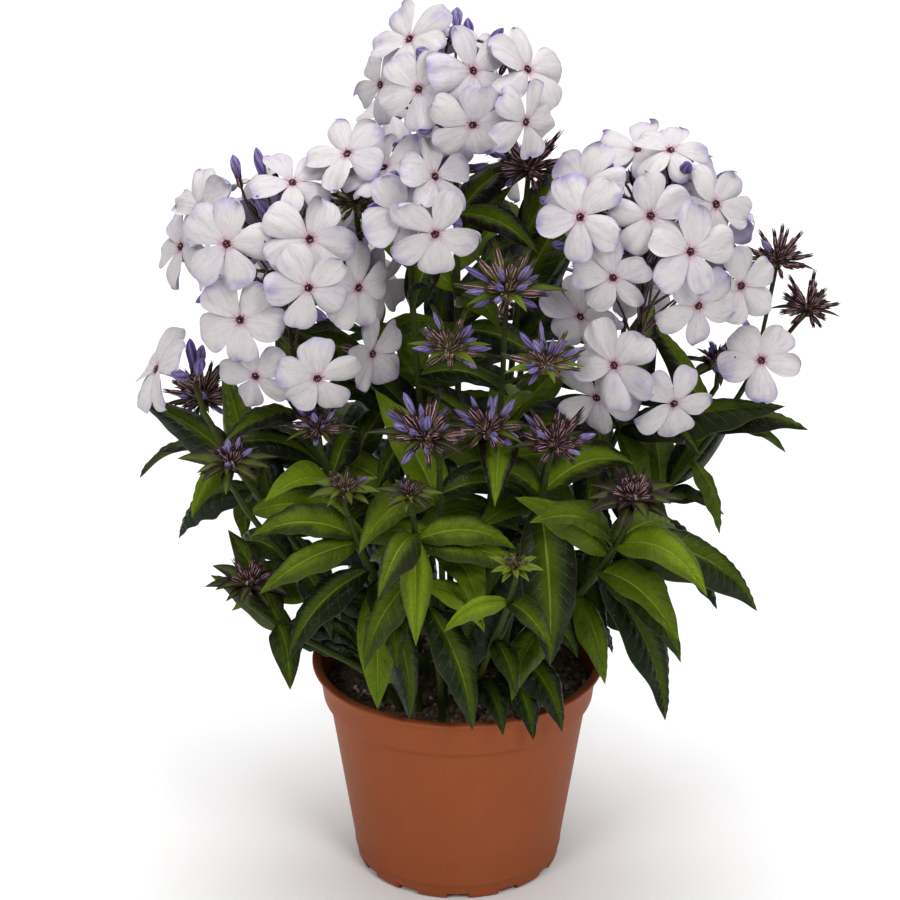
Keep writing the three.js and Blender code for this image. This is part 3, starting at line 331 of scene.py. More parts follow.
def is_in_pot(point):
    radius = math.hypot(point[0], point[1])
    by_wall = BAND_FOOT_RADIUS - RIM_INSIDE < radius < LIP_RADIUS + RIM_OUTSIDE
    if by_wall and point[2] < POT_HEIGHT + RIM_ABOVE:
        return True
    return radius < LIP_RADIUS and point[2] < SOIL_CROWN + SOIL_ABOVE


def is_clear(owner, part, points):
    return not any(is_in_pot(point) or is_taken(owner, part, point) for point in points)


# ------------------------------------------------------------------------------------------------------------
# Stems


def stem_curve(shoot):
    foot = (*shoot["foot"], SOIL_CROWN + STEM_RISE)
    neck = tuple(shoot["neck"])
    way = sub(neck, foot)
    low = add(foot, (STEM_LOW[0] * way[0], STEM_LOW[0] * way[1], STEM_LOW[1] * way[2]))
    high = sub(neck, (STEM_HIGH[0] * way[0], STEM_HIGH[0] * way[1], STEM_HIGH[1] * way[2]))
    return foot, low, high, neck


def on_stem(curve, t):
    k = 1 - t
    shares = (k * k * k, 3 * k * k * t, 3 * k * t * t, t * t * t)
    return tuple(sum(share * point[axis] for share, point in zip(shares, curve)) for axis in range(3))


def stem_points(shoot):
    curve = stem_curve(shoot)
    planted = (*shoot["foot"], SOIL_CROWN - PLANTING_DEPTH)
    return [planted] + [on_stem(curve, i / STEM_STEPS) for i in range(STEM_STEPS + 1)]


def neck_way(shoot):
    points = stem_points(shoot)
    return unit(sub(points[-1], points[-2]))


def stem_at_height(shoot, height):
    points = stem_points(shoot)
    i = max(1, next((i for i, point in enumerate(points) if point[2] > height), 1))
    share = (height - points[i - 1][2]) / (points[i][2] - points[i - 1][2])
    return blend(points[i - 1], points[i], share)


def stem_samples(shoot):
    curve = stem_curve(shoot)
    line = [on_stem(curve, i / 200) for i in range(201)]
    length = sum(size_of(sub(b, a)) for a, b in zip(line, line[1:]))
    steps = math.ceil(length / STEM_SAMPLE_STEP)
    return [on_stem(curve, i / steps) for i in range(steps + 1)]


# ------------------------------------------------------------------------------------------------------------
# Leaves


def leaf_curve(leaf):
    bend = along(leaf["root"], direction(leaf["azimuth"], leaf["rise"]), leaf["length"] / 2)
    way = direction(leaf["azimuth"] + leaf["sweep"], leaf["fall"])
    return leaf["root"], bend, along(bend, way, leaf["length"] / 2)


def leaf_outline(share, sin=math.sin):
    return 1.13 * sin(math.pi * share**0.8) ** 0.85 * (1 - 0.25 * share)


def outward_of(root):
    return unit((MIDDLE_NARROW * root[0], root[1] - MIDDLE_Y, 0))


def leaf_samples(leaf):
    curve = leaf_curve(leaf)
    outward = outward_of(leaf["root"])

    def on_line(t):
        k = 1 - t
        return tuple(k * k * a + 2 * k * t * b + t * t * c for a, b, c in zip(*curve))

    samples = []
    rows = math.ceil(leaf["length"] / LEAF_SAMPLE_STEP)
    for i in range(1, rows + 1):
        share = i / rows
        way = unit(sub(on_line(min(share + 1e-4, 1)), on_line(max(share - 1e-4, 0))))
        level = direction(leaf["azimuth"] + 90 + leaf["sweep"] * share, 0)
        face = along(unit(cross(way, level)), outward, OUTWARD_LEAN)
        face = unit(along(face, way, -dot(face, way)))
        right = unit(cross(way, face))
        wide = leaf["length"] * LEAF_WIDTH * leaf_outline(min(share, 0.999)) / 2
        point = on_line(share)
        for side in (-1, -0.5, 0, 0.5, 1) if wide > 3 else (0,):
            samples.append(along(along(point, right, side * wide), face, LEAF_FOLD * abs(side) * wide))
    return samples


def bent_clear(owner, part, leaf):
    for size in SIZES:
        for turn, lift in BENDS:
            bent = {
                **leaf,
                "azimuth": leaf["azimuth"] + turn,
                "rise": min(leaf["rise"] + lift, STEEPEST_RISE),
                "fall": leaf["fall"] + lift,
                "length": leaf["length"] * size,
            }
            if is_clear(owner, part, leaf_samples(bent)[ROOT_SAMPLES:]):
                return bent
    return None


def wanted_leaves(shoot):
    draw = drawing(seed_of(shoot["name"]))
    wanted = []
    for pair in range(shoot["pairs"] - 1, -1, -1):
        height = between(LOWEST_LEAF, shoot["neck"][2] - TOP_LEAF, pair / (shoot["pairs"] - 1))
        span = HIGH_LEAVES["height"] - LOW_LEAVES["height"]
        level = clamp((height - LOW_LEAVES["height"]) / span, 0, 1)
        mean = {key: between(LOW_LEAVES[key], HIGH_LEAVES[key], level) for key in ("rise", "fall", "length")}
        for side in (0, 180):
            spread = {key: LEAF_SPREAD[key] * (next(draw) - 0.5)
                      for key in ("height", "azimuth", "rise", "fall", "sweep", "length")}
            wanted.append({
                "root": stem_at_height(shoot, height + spread["height"]),
                "azimuth": shoot["turn"] + 90 * pair + side + spread["azimuth"],
                "rise": mean["rise"] + spread["rise"],
                "fall": mean["fall"] + spread["fall"],
                "sweep": spread["sweep"],
                "length": shoot["leaf"] * mean["length"] * (1 + spread["length"]),
            })
    return [leaf for i, leaf in enumerate(wanted) if i not in shoot.get("fallen", [])]


def listed_leaves(shoot, key):
    return [
        {"root": stem_at_height(shoot, height), "azimuth": azimuth, "rise": rise, "fall": fall,
         "length": length, "sweep": 0}
        for height, azimuth, rise, fall, length in shoot.get(key, [])
    ]


# ------------------------------------------------------------------------------------------------------------
# Heads


def axis_of(shoot):
    heart = tuple(shoot["heart"] if "heart" in shoot else shoot["tips"][0][:3])
    neck = tuple(shoot["neck"])
    way = neck_way(shoot)
    tip = along(heart, unit(sub(heart, neck)), AXIS_TIP)
    return [along(neck, way, FIT), along(neck, way, AXIS_FOOT), tip]


def branch_root(axis, end):
    _, low, high = axis
    reach = math.hypot(end[0] - high[0], end[1] - high[1])
    share = clamp((end[2] - 0.7 * reach - low[2]) / (high[2] - low[2]), 0.02, 0.95)
    return blend(low, high, share)


def floret_root(axis, elevation, turn):
    share = clamp((elevation + 62) / 150, 0.02, 0.98)
    return blend(axis[1], axis[2], share + 0.02 * math.sin(math.radians(7 * turn)))


def calyx_of(place):
    return along(place["eye"], place["face"], -TUBE - CALYX / 2)


def floret_samples(place):
    eye, face = place["eye"], place["face"]
    right = unit(cross(face, (0.3, 0.5, 0.81)))
    up = cross(face, right)
    calyx = calyx_of(place)
    samples = [along(eye, face, depth) for depth in TUBE_SAMPLES]
    samples += [calyx, blend(place["root"], calyx, 0.6)]
    for share, count in SAMPLE_RINGS:
        for i in range(count):
            angle = 2 * math.pi * i / count
            point = along(eye, right, share * place["radius"] * math.cos(angle))
            samples.append(along(point, up, share * place["radius"] * math.sin(angle)))
    return samples


def floret_clear(owner, part, heart, axis, spot, faces, lean, radius):
    """The first place near the wanted one where a floret clears the rest, or None."""
    azimuth, elevation, reach = spot
    faced = 0.3 * elevation if elevation < 0 else elevation
    for shift in SHIFTS:
        for turn, lift in TILTS:
            place = {
                "eye": along(heart, direction(azimuth, elevation), reach + shift),
                "face": unit(add(direction(faces[0] + turn, faced + faces[1] + lift), lean)),
                "root": floret_root(axis, elevation, azimuth),
                "radius": radius,
            }
            if is_clear(owner, part, floret_samples(place)):
                return place
    return None


def floret_places(shoot, owner, axis):
    heart = tuple(shoot["heart"])
    draw = drawing(seed_of(shoot["name"]) + 1)
    places = []

    def settle(azimuth, elevation, reach, faces, lean):
        part = f"floret {len(places)}"
        roll = 360 / LOBES * next(draw)
        radius = FLORET_RADIUS * (FLORET_SIZES[0] + FLORET_SIZES[1] * next(draw))
        sway, nod = FLORET_SWAY * (next(draw) - 0.5), FLORET_SWAY * (next(draw) - 0.5)
        spot = (azimuth, elevation, reach)
        place = floret_clear(owner, part, heart, axis, spot, (faces + sway, nod), lean, radius)
        if place:
            occupy(owner, part, floret_samples(place))
            places.append({**place, "roll": roll})
        return bool(place)

    for azimuth, elevation, reach, *faces in shoot["florets"]:
        settle(azimuth, elevation, reach, faces[0] if faces else azimuth, FRONT_LEAN)
    dome = shoot.get("dome") or shoot["florets"][0][2] - FILL_DEPTH
    left = shoot["back"]
    for i in range(FILL_TRIES):
        if left > 0:
            azimuth, elevation = 180 + GOLDEN_ANGLE * i, FILL_START - FILL_STEP * i
            eye = along(heart, direction(azimuth, elevation), dome)
            apart = all(size_of(sub(place["eye"], eye)) > FILL_SPACING for place in places)
            if apart and settle(azimuth, elevation, dome, azimuth, (0, 0, 0)):
                left -= 1
    return places


GOLD = (1 + math.sqrt(5)) / 2
KNOB_CORNERS = (
    (-1, GOLD, 0), (1, GOLD, 0), (-1, -GOLD, 0), (1, -GOLD, 0), (0, -1, GOLD), (0, 1, GOLD),
    (0, -1, -GOLD), (0, 1, -GOLD), (GOLD, 0, -1), (GOLD, 0, 1), (-GOLD, 0, -1), (-GOLD, 0, 1),
)
KNOB_FACES = (
    (0, 11, 5), (0, 5, 1), (0, 1, 7), (0, 7, 10), (0, 10, 11), (1, 5, 9), (5, 11, 4), (11, 10, 2), (10, 7, 6),
    (7, 1, 8), (3, 9, 4), (3, 4, 2), (3, 2, 6), (3, 6, 8), (3, 8, 9), (4, 9, 5), (2, 4, 11), (6, 2, 10),
    (8, 6, 7), (9, 8, 1),
)


def cluster(tip, draw):
    """Where the buds and bracts of a cluster point: (kind, foot, tip), with the kinds bract and bud."""
    heart, size = tuple(tip[:3]), tip[3]
    tilt = math.atan(0.5 * (math.sqrt(5) - 1))
    turn = 2 * math.pi * next(draw)
    corners = []
    for corner in KNOB_CORNERS:
        x, y, z = along((0, 0, 0), unit(corner), KNOB_RADIUS * size)
        y, z = y * math.cos(tilt) - z * math.sin(tilt), y * math.sin(tilt) + z * math.cos(tilt)
        x, y = x * math.cos(turn) - y * math.sin(turn), x * math.sin(turn) + y * math.cos(turn)
        corners.append(add((x, y, z), heart))
    parts, samples = [], [heart]
    for face in KNOB_FACES:
        middle = along((0, 0, 0), add(add(corners[face[0]], corners[face[1]]), corners[face[2]]), 1 / 3)
        way = unit(sub(middle, heart))
        if way[2] < KNOB_FOOT:
            continue
        if way[2] < 0:
            raised = unit(blend((0, 0, 1), way, 0.8))
            length = size * BRACT_LENGTH * (BRACT_SPREAD[0] + BRACT_SPREAD[1] * next(draw))
            end = along(middle, raised, length)
            parts.append(("bract", middle, end))
            samples += [blend(middle, end, 0.3), blend(middle, end, 0.65), end]
        else:
            length = size * BUD_LENGTH * (BUD_SPREAD[0] + BUD_SPREAD[1] * next(draw))
            end = along(middle, way, length)
            parts.append(("bud", middle, end))
            samples += [blend(middle, end, 0.5), end]
    gaps = [unit(sub(corner, heart)) for corner in corners]
    return {"heart": heart, "size": size, "parts": parts, "gaps": gaps, "samples": samples}


def grow():
    """The places of everything that grows, in the order in which the model places it."""
    plant = {shoot["name"]: {"clusters": [], "florets": [], "buds": [], "leaves": []} for shoot in SHOOTS}
    for shoot in SHOOTS:
        occupy(f"shoot_{shoot['name']}", "stem", stem_samples(shoot))
    for shoot in SHOOTS:
        owner = f"head_{shoot['name']}"
        draw = drawing(seed_of(shoot["name"]) + 2)
        axis = axis_of(shoot)
        occupy(owner, "axis", [blend(axis[0], axis[2], share) for share in (0, 0.25, 0.5, 0.75)])
        for i, tip in enumerate(shoot.get("tips", [])):
            made = cluster(tip, draw)
            plant[shoot["name"]]["clusters"].append(made)
            occupy(owner, f"tip {i}", made["samples"])
    for shoot in SHOOTS:
        if "heart" in shoot:
            owner = f"head_{shoot['name']}"
            axis = axis_of(shoot)
            heart = tuple(shoot["heart"])
            plant[shoot["name"]]["florets"] = floret_places(shoot, owner, axis)
            for i, (azimuth, elevation, reach) in enumerate(shoot["buds"]):
                way = direction(azimuth, elevation)
                end = along(heart, way, reach)
                samples = [along(end, way, depth) for depth in BUD_SAMPLES]
                if is_clear(owner, f"bud {i}", samples):
                    root = branch_root(axis, along(end, way, -BUD_LENGTH))
                    plant[shoot["name"]]["buds"].append((root, end, way))
                    occupy(owner, f"bud {i}", samples)
    for stage in ("own", "wanted", "more"):
        for shoot in SHOOTS:
            owner = f"shoot_{shoot['name']}"
            grown = plant[shoot["name"]]["leaves"]
            for leaf in wanted_leaves(shoot) if stage == "wanted" else listed_leaves(shoot, stage):
                bent = bent_clear(owner, f"leaf {len(grown)}", leaf)
                if bent:
                    occupy(owner, f"leaf {len(grown)}", leaf_samples(bent))
                    grown.append(bent)
    return plant


plant = grow()

# ------------------------------------------------------------------------------------------------------------
# Mesh code

# From which angle on an edge is sharp, and a full turn in radians for draws
SHARP = 75
POT_SHARP = 50
TURN = 6.28


class Skin:
    """The surfaces of one piece: points, faces with their material, and two attributes for the materials.

    blade is (along, across, vein phase) on a leaf or petal, and (along, round, 0) on a round member.
    tone is (chance, darkness of a leaf, violet), which differ from part to part; a leaf's darkness is partly
    its age and partly painted shade. On a furled bud the second value is how far its furls wind.
    """

    def __init__(self):
        self.points, self.blade, self.tone, self.faces, self.slots = [], [], [], [], []
        self.count = 0

    def add(self, points, faces, slot, blade, tone):
        points = np.asarray(points, float).reshape(-1, 3)
        self.points.append(points)
        self.blade.append(np.asarray(blade, float).reshape(-1, 3))
        self.tone.append(np.broadcast_to(np.asarray(tone, float), points.shape))
        self.faces += [tuple(int(corner) + self.count for corner in face) for face in faces]
        self.slots += [slot] * len(faces) if isinstance(slot, int) else list(slot)
        self.count += len(points)

    def piece(self, name, materials, node, sharp=SHARP):
        mesh = bpy.data.meshes.new(name)
        mesh.from_pydata((np.concatenate(self.points) * MM).tolist(), [], self.faces)
        for key, parts in (("blade", self.blade), ("tone", self.tone)):
            attribute = mesh.attributes.new(key, "FLOAT_VECTOR", "POINT")
            attribute.data.foreach_set("vector", np.concatenate(parts).astype(np.float32).ravel())
        for made in materials:
            mesh.materials.append(made)
        mesh.polygons.foreach_set("material_index", self.slots)
        mesh.polygons.foreach_set("use_smooth", [True] * len(self.faces))
        mesh.validate()
        mesh.update()
        mesh.set_sharp_from_angle(angle=math.radians(sharp))
        made = bpy.data.objects.new(name, mesh)
        bpy.context.scene.collection.objects.link(made)
        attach(made, "root")
        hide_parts(node)


def units(vectors):
    lengths = np.linalg.norm(vectors, axis=-1, keepdims=True)
    return vectors / np.where(lengths < 1e-9, 1, lengths)


def length_of(vector):
    return float(np.linalg.norm(vector))


def bow(start, middle, end, t):
    """Points of a curve from start to end that is drawn towards middle."""
    return (1 - t) ** 2 * start + 2 * (1 - t) * t * middle + t**2 * end


def circle(sides, right, up):
    """The angles of points round a circle, and the ways out to them."""
    angles = np.arange(sides) * 2 * np.pi / sides
    return angles, np.cos(angles)[:, None] * right + np.sin(angles)[:, None] * up


def grid_faces(grid):
    """The four-sided faces of a grid of point numbers."""
    return np.stack([grid[:-1, :-1], grid[:-1, 1:], grid[1:, 1:], grid[1:, :-1]], -1).reshape(-1, 4).tolist()


def ring_faces(grid, first, last):
    """The faces of rings of points, closed by the points first and last at their two ends."""
    closed = np.concatenate([grid, grid[:, :1]], 1)
    faces = grid_faces(closed)
    faces += [(first, b, a) for a, b in zip(closed[0], closed[0, 1:])]
    return faces + [(last, a, b) for a, b in zip(closed[-1], closed[-1, 1:])]


def flipped(faces):
    return [(face[0], *face[:0:-1]) for face in faces]


def thin_sheet(skin, top, depth, normal, slots, blade, tone):
    """A closed blade: the grid top, and the same grid sunk by depth along normal, joined at its border."""
    upper = np.arange(top[..., 0].size).reshape(top.shape[:2])
    inner = np.zeros(upper.shape, bool)
    inner[1:-1, 1:-1] = True
    lower = upper.copy()
    lower[inner] = upper.size + np.arange(inner.sum())
    under = top - depth[..., None] * normal
    points = np.concatenate([top.reshape(-1, 3), under[inner]])
    places = np.concatenate([blade.reshape(-1, 3), blade[inner]])
    faces = grid_faces(upper)
    sides = [slots[0]] * len(faces) + [slots[1]] * len(faces)
    skin.add(points, faces + flipped(grid_faces(lower)), sides, places, tone)


def tube(skin, line, radii, sides, slot, tone, ridges=None, right=None):
    """A round member along a line of points, closed at both ends. ridges(share, angle) scales its radius."""
    line = np.asarray(line, float)
    ways = units(np.gradient(line, axis=0))
    if right is None:
        right = np.cross(ways[0], (1, 0, 0) if abs(ways[0][2]) > 0.8 else (0, 0, 1))
    points, places = [], []
    for point, way, radius, share in zip(line, ways, radii, np.linspace(0, 1, len(line))):
        right = units(right - np.dot(right, way) * way)
        angles, around = circle(sides, right, np.cross(way, right))
        scale = 1 if ridges is None else ridges(share, angles)[:, None]
        points.append(point + radius * scale * around)
        places.append(np.stack([np.full(sides, share), angles / np.pi - 1, np.zeros(sides)], 1))
    points = np.concatenate([*points, line[:1], line[-1:]])
    places = np.concatenate([*places, [[0, 0, 0]], [[1, 0, 0]]])
    grid = np.arange(len(line) * sides).reshape(-1, sides)
    skin.add(points, ring_faces(grid, grid.size, grid.size + 1), slot, places, tone)


# ------------------------------------------------------------------------------------------------------------
# Leaves, stems

TOP, UNDER, STEM = 0, 1, 2
VEIN_SPACING = 5.6
LEAF_THICKNESS = 0.6
# Height of the tissue between two veins, depth of the midrib's groove, and the margin's wave as a share of
# the leaf's half width
QUILT = 0.62
MIDRIB_GROOVE = 0.45
MARGIN_WAVE = 0.13
# A stem is a little thinner than its solid, and swells where leaves leave it.
SLIM_STEM = 0.86
NODE_SWELLING = 0.35
NODE_SPACING = 6
# Over which heights leaves count as low and as young, and over which depth as standing in front; a leaf
# further back gets painted shade.
LOW_REACH = 150
YOUNG_REACH = 45
PLANT_DEPTH = 160

# How fresh and bright the leaves are that stand out by themselves, where it differs from their neighbours. It
# sets their darkness, which is partly age and partly painted light and shade.
FRESHNESS = {
    "d": (0.4, 0.6), "e": (0.95, 0.9), "g": (0.05, 0.4, 0), "h": (0.4, 1.0, 0.25, 0.75),
    "k": (0.7, 0.15, 0.6), "m": (0.6, 0.5), "o": (1.0, 0.8, 0.3, 0.45),
}


def leaf_relief(leaf, even, across, wide, rng):
    """Raised tissue between the side veins, a groove on the midrib and a waved margin."""
    reach = np.abs(across)
    ends = np.minimum(1, 8 * even * (1 - even))
    phase = even * leaf["length"] / VEIN_SPACING
    quilt = (0.5 - 0.5 * np.cos(2 * np.pi * phase)) * (4 * reach * (1 - reach)) ** 0.7
    relief = QUILT * leaf["crinkle"] * quilt * ends
    relief -= MIDRIB_GROOVE * np.exp(-((across / 0.1) ** 2)) * ends
    waves, start = rng.uniform(2.0, 4.5), rng.uniform(0, TURN)
    wave = np.sin(2 * np.pi * waves * even + start + np.where(across < 0, 1.7, 0))
    return relief + MARGIN_WAVE * leaf["crinkle"] * wide * wave * reach**2.2 * ends


def leaf_blade(skin, leaf, tone, slots, rng, small=False):
    root, bend, tip = (np.array(point) for point in leaf_curve(leaf))
    length = leaf["length"]
    rows, columns = (10, 4) if small else (max(12, round(length / (VEIN_SPACING / 4))), 8)
    across = np.linspace(-1, 1, columns + 1)
    across = np.sign(across) * np.abs(across) ** 1.1
    reach = np.abs(across)
    even = np.linspace(0, 1, rows + 1)[:, None] * np.ones(columns + 1)
    # The rows lean towards the tip on both sides, as the side veins do.
    lean = 0.16 * (0.4 if small else 1)
    share = np.clip(even + lean * reach * 4 * even * (1 - even), 0, 1)
    t = share[..., None]
    point = bow(root, bend, tip, t)
    way = units(2 * (1 - t) * (bend - root) + 2 * t * (tip - bend))
    turn = np.radians(leaf["azimuth"] + 90 + leaf["sweep"] * share)
    level = np.stack([np.sin(turn), -np.cos(turn), np.zeros_like(turn)], -1)
    face = units(np.cross(way, level)) + OUTWARD_LEAN * np.array(outward_of(leaf["root"]))
    face = units(face - np.sum(face * way, -1, keepdims=True) * way)
    right = units(np.cross(way, face))
    outline = leaf_outline(np.clip(share, 0.0, 0.9995), np.sin)
    outline = np.maximum(outline, np.interp(share, (0, 0.06, 0.9, 1), (0.1, 0.2, 0.05, 0.015)))
    wide = length * LEAF_WIDTH * leaf.get("slim", 1) * outline / 2
    # The halves rise from the midrib, arch, and turn down a little at the margin.
    fold, arch, roll = leaf.get("fold", LEAF_FOLD), leaf.get("arch", 0.2), leaf.get("roll", 0)
    rise = wide * (fold * reach + arch * np.sin(np.pi * reach) - 0.5 * arch * reach**4)
    rise = rise - wide * roll * (0.45 * reach**2 + 0.25 * reach**4)
    if not small:
        rise = rise + leaf_relief(leaf, even, across, wide, rng)
    cover = wide * across * (1 - 0.16 * roll * reach**2)
    spread = point + right * cover[..., None] + face * rise[..., None]
    depth = LEAF_THICKNESS * np.sqrt(np.clip(1 - reach**2, 0, 1)) * np.minimum(1, wide / 1.5)
    blade = np.stack([share, across + 0 * even, even * length / VEIN_SPACING], -1)
    thin_sheet(skin, spread[:, ::-1], depth[:, ::-1], face[:, ::-1], slots, blade[:, ::-1], tone)


def green_shoot(shoot, grown):
    rng = np.random.default_rng(seed_of(shoot["name"]))
    skin = Skin()
    curve = stem_curve(shoot)
    line = [stem_points(shoot)[0]] + [on_stem(curve, i / 26) for i in range(27)]
    heights = np.array([point[2] for point in line])
    shares = np.clip((heights - SOIL_CROWN) / (line[-1][2] - SOIL_CROWN), 0, 1)
    radii = STEM_FOOT_RADIUS + (STEM_NECK_RADIUS - STEM_FOOT_RADIUS) * shares
    radii = radii * SLIM_STEM
    for node in sorted({round(leaf["root"][2] / NODE_SPACING) for leaf in grown["leaves"]}):
        swelling = np.exp(-(((heights - NODE_SPACING * node) / (NODE_SPACING / 2)) ** 2))
        radii = radii + NODE_SWELLING * swelling
    tube(skin, line, radii, 10, STEM, (rng.random(), 0, 0))
    fresh = FRESHNESS.get(shoot["name"], ())
    for i, leaf in enumerate(grown["leaves"]):
        _, y, z = leaf["root"]
        low = clamp(1 - (z - LOW_LEAVES["height"]) / LOW_REACH, 0, 1)
        front = clamp(0.5 - y / PLANT_DEPTH, 0, 1)
        young = clamp(1 - (shoot["neck"][2] - z) / YOUNG_REACH, 0, 1)
        # A leaf's darkness is partly age, the low leaves being older, and partly painted shade, deeper for
        # leaves further back.
        dark = 0.35 + 0.36 * low + 0.6 * (1 - front) - 0.2 * young * front + rng.uniform(-0.5, 0.4)
        dark = 1 - fresh[i] if i < len(fresh) else clamp(dark, 0, 1)
        rounded = rng.random()
        leaf = {
            **leaf, "crinkle": 0.6 + 0.7 * low, "fold": 0.2 + 0.2 * rounded,
            "arch": 0.34 - 0.26 * rounded, "roll": 1.1 - 1.3 * rounded,
        }
        flush = clamp(rng.uniform(0.05, 0.75) * (1 - 1.4 * low) + 0.5 * young, 0, 1)
        leaf_blade(skin, leaf, (rng.random(), dark, flush), (TOP, UNDER), rng)
    name = f"shoot_{shoot['name']}"
    skin.piece(f"leafy_{name}", LEAF_SKINS, name)


# ------------------------------------------------------------------------------------------------------------
# Heads

PETAL, PETAL_BACK, EYE, THROAT, GREEN, VIOLET, BRACT, BRACT_UNDER, AXIS, TOOTH = range(10)

# A lobe: shares of its length at its rows, and its half widths at some shares up to its widest place, for a
# floret of FLORET_RADIUS
LOBE_ROWS = (0, 0.1, 0.22, 0.35, 0.48, 0.6, 0.7, 0.79, 0.87, 0.93, 0.97, 1)
LOBE_COLUMNS = 12
LOBE_WIDENING = ((0, 0.1, 0.3, 0.5), (1.0, 2.3, 4.9, 7.2))
LOBE_WIDEST = 8.1
PETAL_THICKNESS = 0.35
# The chance that a margin curls in, and how far
CURLED = 0.28
CURL = 3.8


def lobe_sheet(skin, centre, right, up, face, angle, size, rng, tone, dish):
    """One lobe of a floret: broad and round-tipped, lying with one side over its neighbour, gently waved."""
    s = np.array(LOBE_ROWS)[:, None] * np.ones(LOBE_COLUMNS + 1)
    t = np.linspace(-1, 1, LOBE_COLUMNS + 1)[None, :] * np.ones((len(LOBE_ROWS), 1))
    widest = rng.uniform(0.6, 0.7)
    tip = np.clip((s - widest) / (1 - widest), 0, 1)
    half = np.interp(s, (*LOBE_WIDENING[0], widest), (*LOBE_WIDENING[1], LOBE_WIDEST))
    half = half * (1 - (0.985 * tip) ** 2.3) ** (1 / 2.3)
    half = half * size / FLORET_RADIUS * rng.uniform(0.88, 1.08)
    reach = size * rng.uniform(0.97, 1.09)
    bend = rng.uniform(-1.4, 1.4)
    x = 1.0 + (reach - 1.0) * s
    # A blunt tip may be a little notched, as a lobe of phlox is.
    x = x - rng.uniform(0, 0.9) * s**8 * np.exp(-((t * half / size / 0.2) ** 2))
    y = t * half + bend * s**2
    # It rises out of the throat, lies flat, and its tip and sides roll back by themselves.
    z = 0.3 + 1.3 * np.sin(np.pi * np.clip(s * 0.9, 0, 1)) + (dish - rng.uniform(0.0, 3.4)) * s**2.6
    z = z + math.tan(math.radians(rng.uniform(2.5, 9.0))) * y * np.minimum(1, 1.4 * s)
    roll = rng.uniform(-1.0, 3.0, 2)
    z = z - np.where(t < 0, roll[0], roll[1]) * np.abs(t) ** 2.6 * np.minimum(1, 1.6 * s)
    aside = t * half / half.max()
    z = z - rng.uniform(-1.0, 2.8) * aside**2
    swell, waves, start = rng.uniform(0.4, 1.3), rng.uniform(1.1, 1.9), rng.uniform(0, TURN)
    z = z + swell * np.sin(waves * np.pi * aside + start) * s**2
    z = z - rng.uniform(0.1, 0.4) * np.exp(-((t / 0.16) ** 2)) * np.sin(np.pi * s)
    z = z + 0.17 * np.sin(rng.uniform(4.2, 5.8) * np.pi * t + rng.uniform(0, TURN)) * s**1.5
    # The margin of some lobes curls in, so that the lavender back shows.
    curl = CURL * (rng.random(2) < CURLED) * rng.uniform(0.5, 1, 2)
    curl = np.where(t < 0, curl[0], curl[1]) * np.abs(t) ** 3 * np.clip(2 * s - 0.5, 0, 1)
    curl = curl * size / FLORET_RADIUS
    z = z + 0.9 * curl
    y = y - np.sign(t) * 0.85 * curl
    turn = angle + math.radians(rng.uniform(-4, 4))
    out = math.cos(turn) * right + math.sin(turn) * up
    beside = -math.sin(turn) * right + math.cos(turn) * up
    top = centre + x[..., None] * out + y[..., None] * beside + z[..., None] * face
    normal = np.broadcast_to(face, top.shape)
    blade = np.stack([s, t * (0.4 + 0.6 * half / half.max()), np.full_like(s, rng.random())], -1)
    thin_sheet(skin, top, PETAL_THICKNESS + 0 * s, normal, (PETAL, PETAL_BACK), blade, tone)


def stalk(skin, start, way, root, tone, radius=0.6):
    """A thin stalk that leaves start against way and bends to its root."""
    root = np.array(root)
    middle = start - way * np.linalg.norm(root - start) * 0.35
    line = bow(start, middle, root, np.linspace(0, 1, 6)[:, None])
    tube(skin, line, [radius] * 5 + [radius * 1.3], 6, GREEN, tone)


def calyx_and_stalk(skin, base, way, root, rng, tone, length=CALYX, radius=1.45, closed=False):
    """A slim ribbed calyx with five long teeth, on its stalk. The teeth of a closed one lean together."""
    foot = base - way * length
    right = units(np.cross(way, (0.2, 0.3, 0.93)))
    up = np.cross(way, right)
    top = 0.84 if closed else 1.0
    radii = (0.5, 0.84, 1.08, 0.92, 0.36) if closed else (0.5, 0.86, 1.05, 1.0, 0.98)
    line = [foot + way * length * share for share in (0, 0.14, 0.38, 0.6, top)]
    tube(skin, line, [radius * value for value in radii], 10, GREEN, tone,
         lambda share, angle: 1 + 0.12 * np.cos(5 * angle), right)
    tooth = rng.uniform(0.3, 0.46) * length if closed else rng.uniform(2.8, 3.8)
    for i in range(5):
        angle = 2 * math.pi * i / 5
        out = math.cos(angle) * right + math.sin(angle) * up
        start = foot + way * length * (top - 0.14) + out * radius * (0.5 if closed else 0.9)
        lean = rng.uniform(-0.3, 0.5) if closed else rng.uniform(0.3, 1.1)
        middle = start + way * tooth * 0.45 + out * (0.1 if closed else 0.3)
        end = start + way * tooth * rng.uniform(0.85, 1.15) + out * lean
        tube(skin, [start, middle, end], [0.36, 0.26, 0.05], 4, TOOTH, tone)
    stalk(skin, foot, way, root, tone)


# The throat of a floret: radius and height of its rings, and the heights of the points that close it.
THROAT_RINGS = ((0.9, -0.9), (1.35, 0.3), (1.5, 0.95), (1.15, 1.0), (0.7, 0.35), (0.4, -1.1))
THROAT_ENDS = (-1.2, -1.6)
THROAT_SIDES = 15
TUBE_DEPTHS = (0.9, 3, 7, 11, TUBE + 0.5)
TUBE_RADII = (1.5, 1.05, 0.9, 0.85, 0.8)


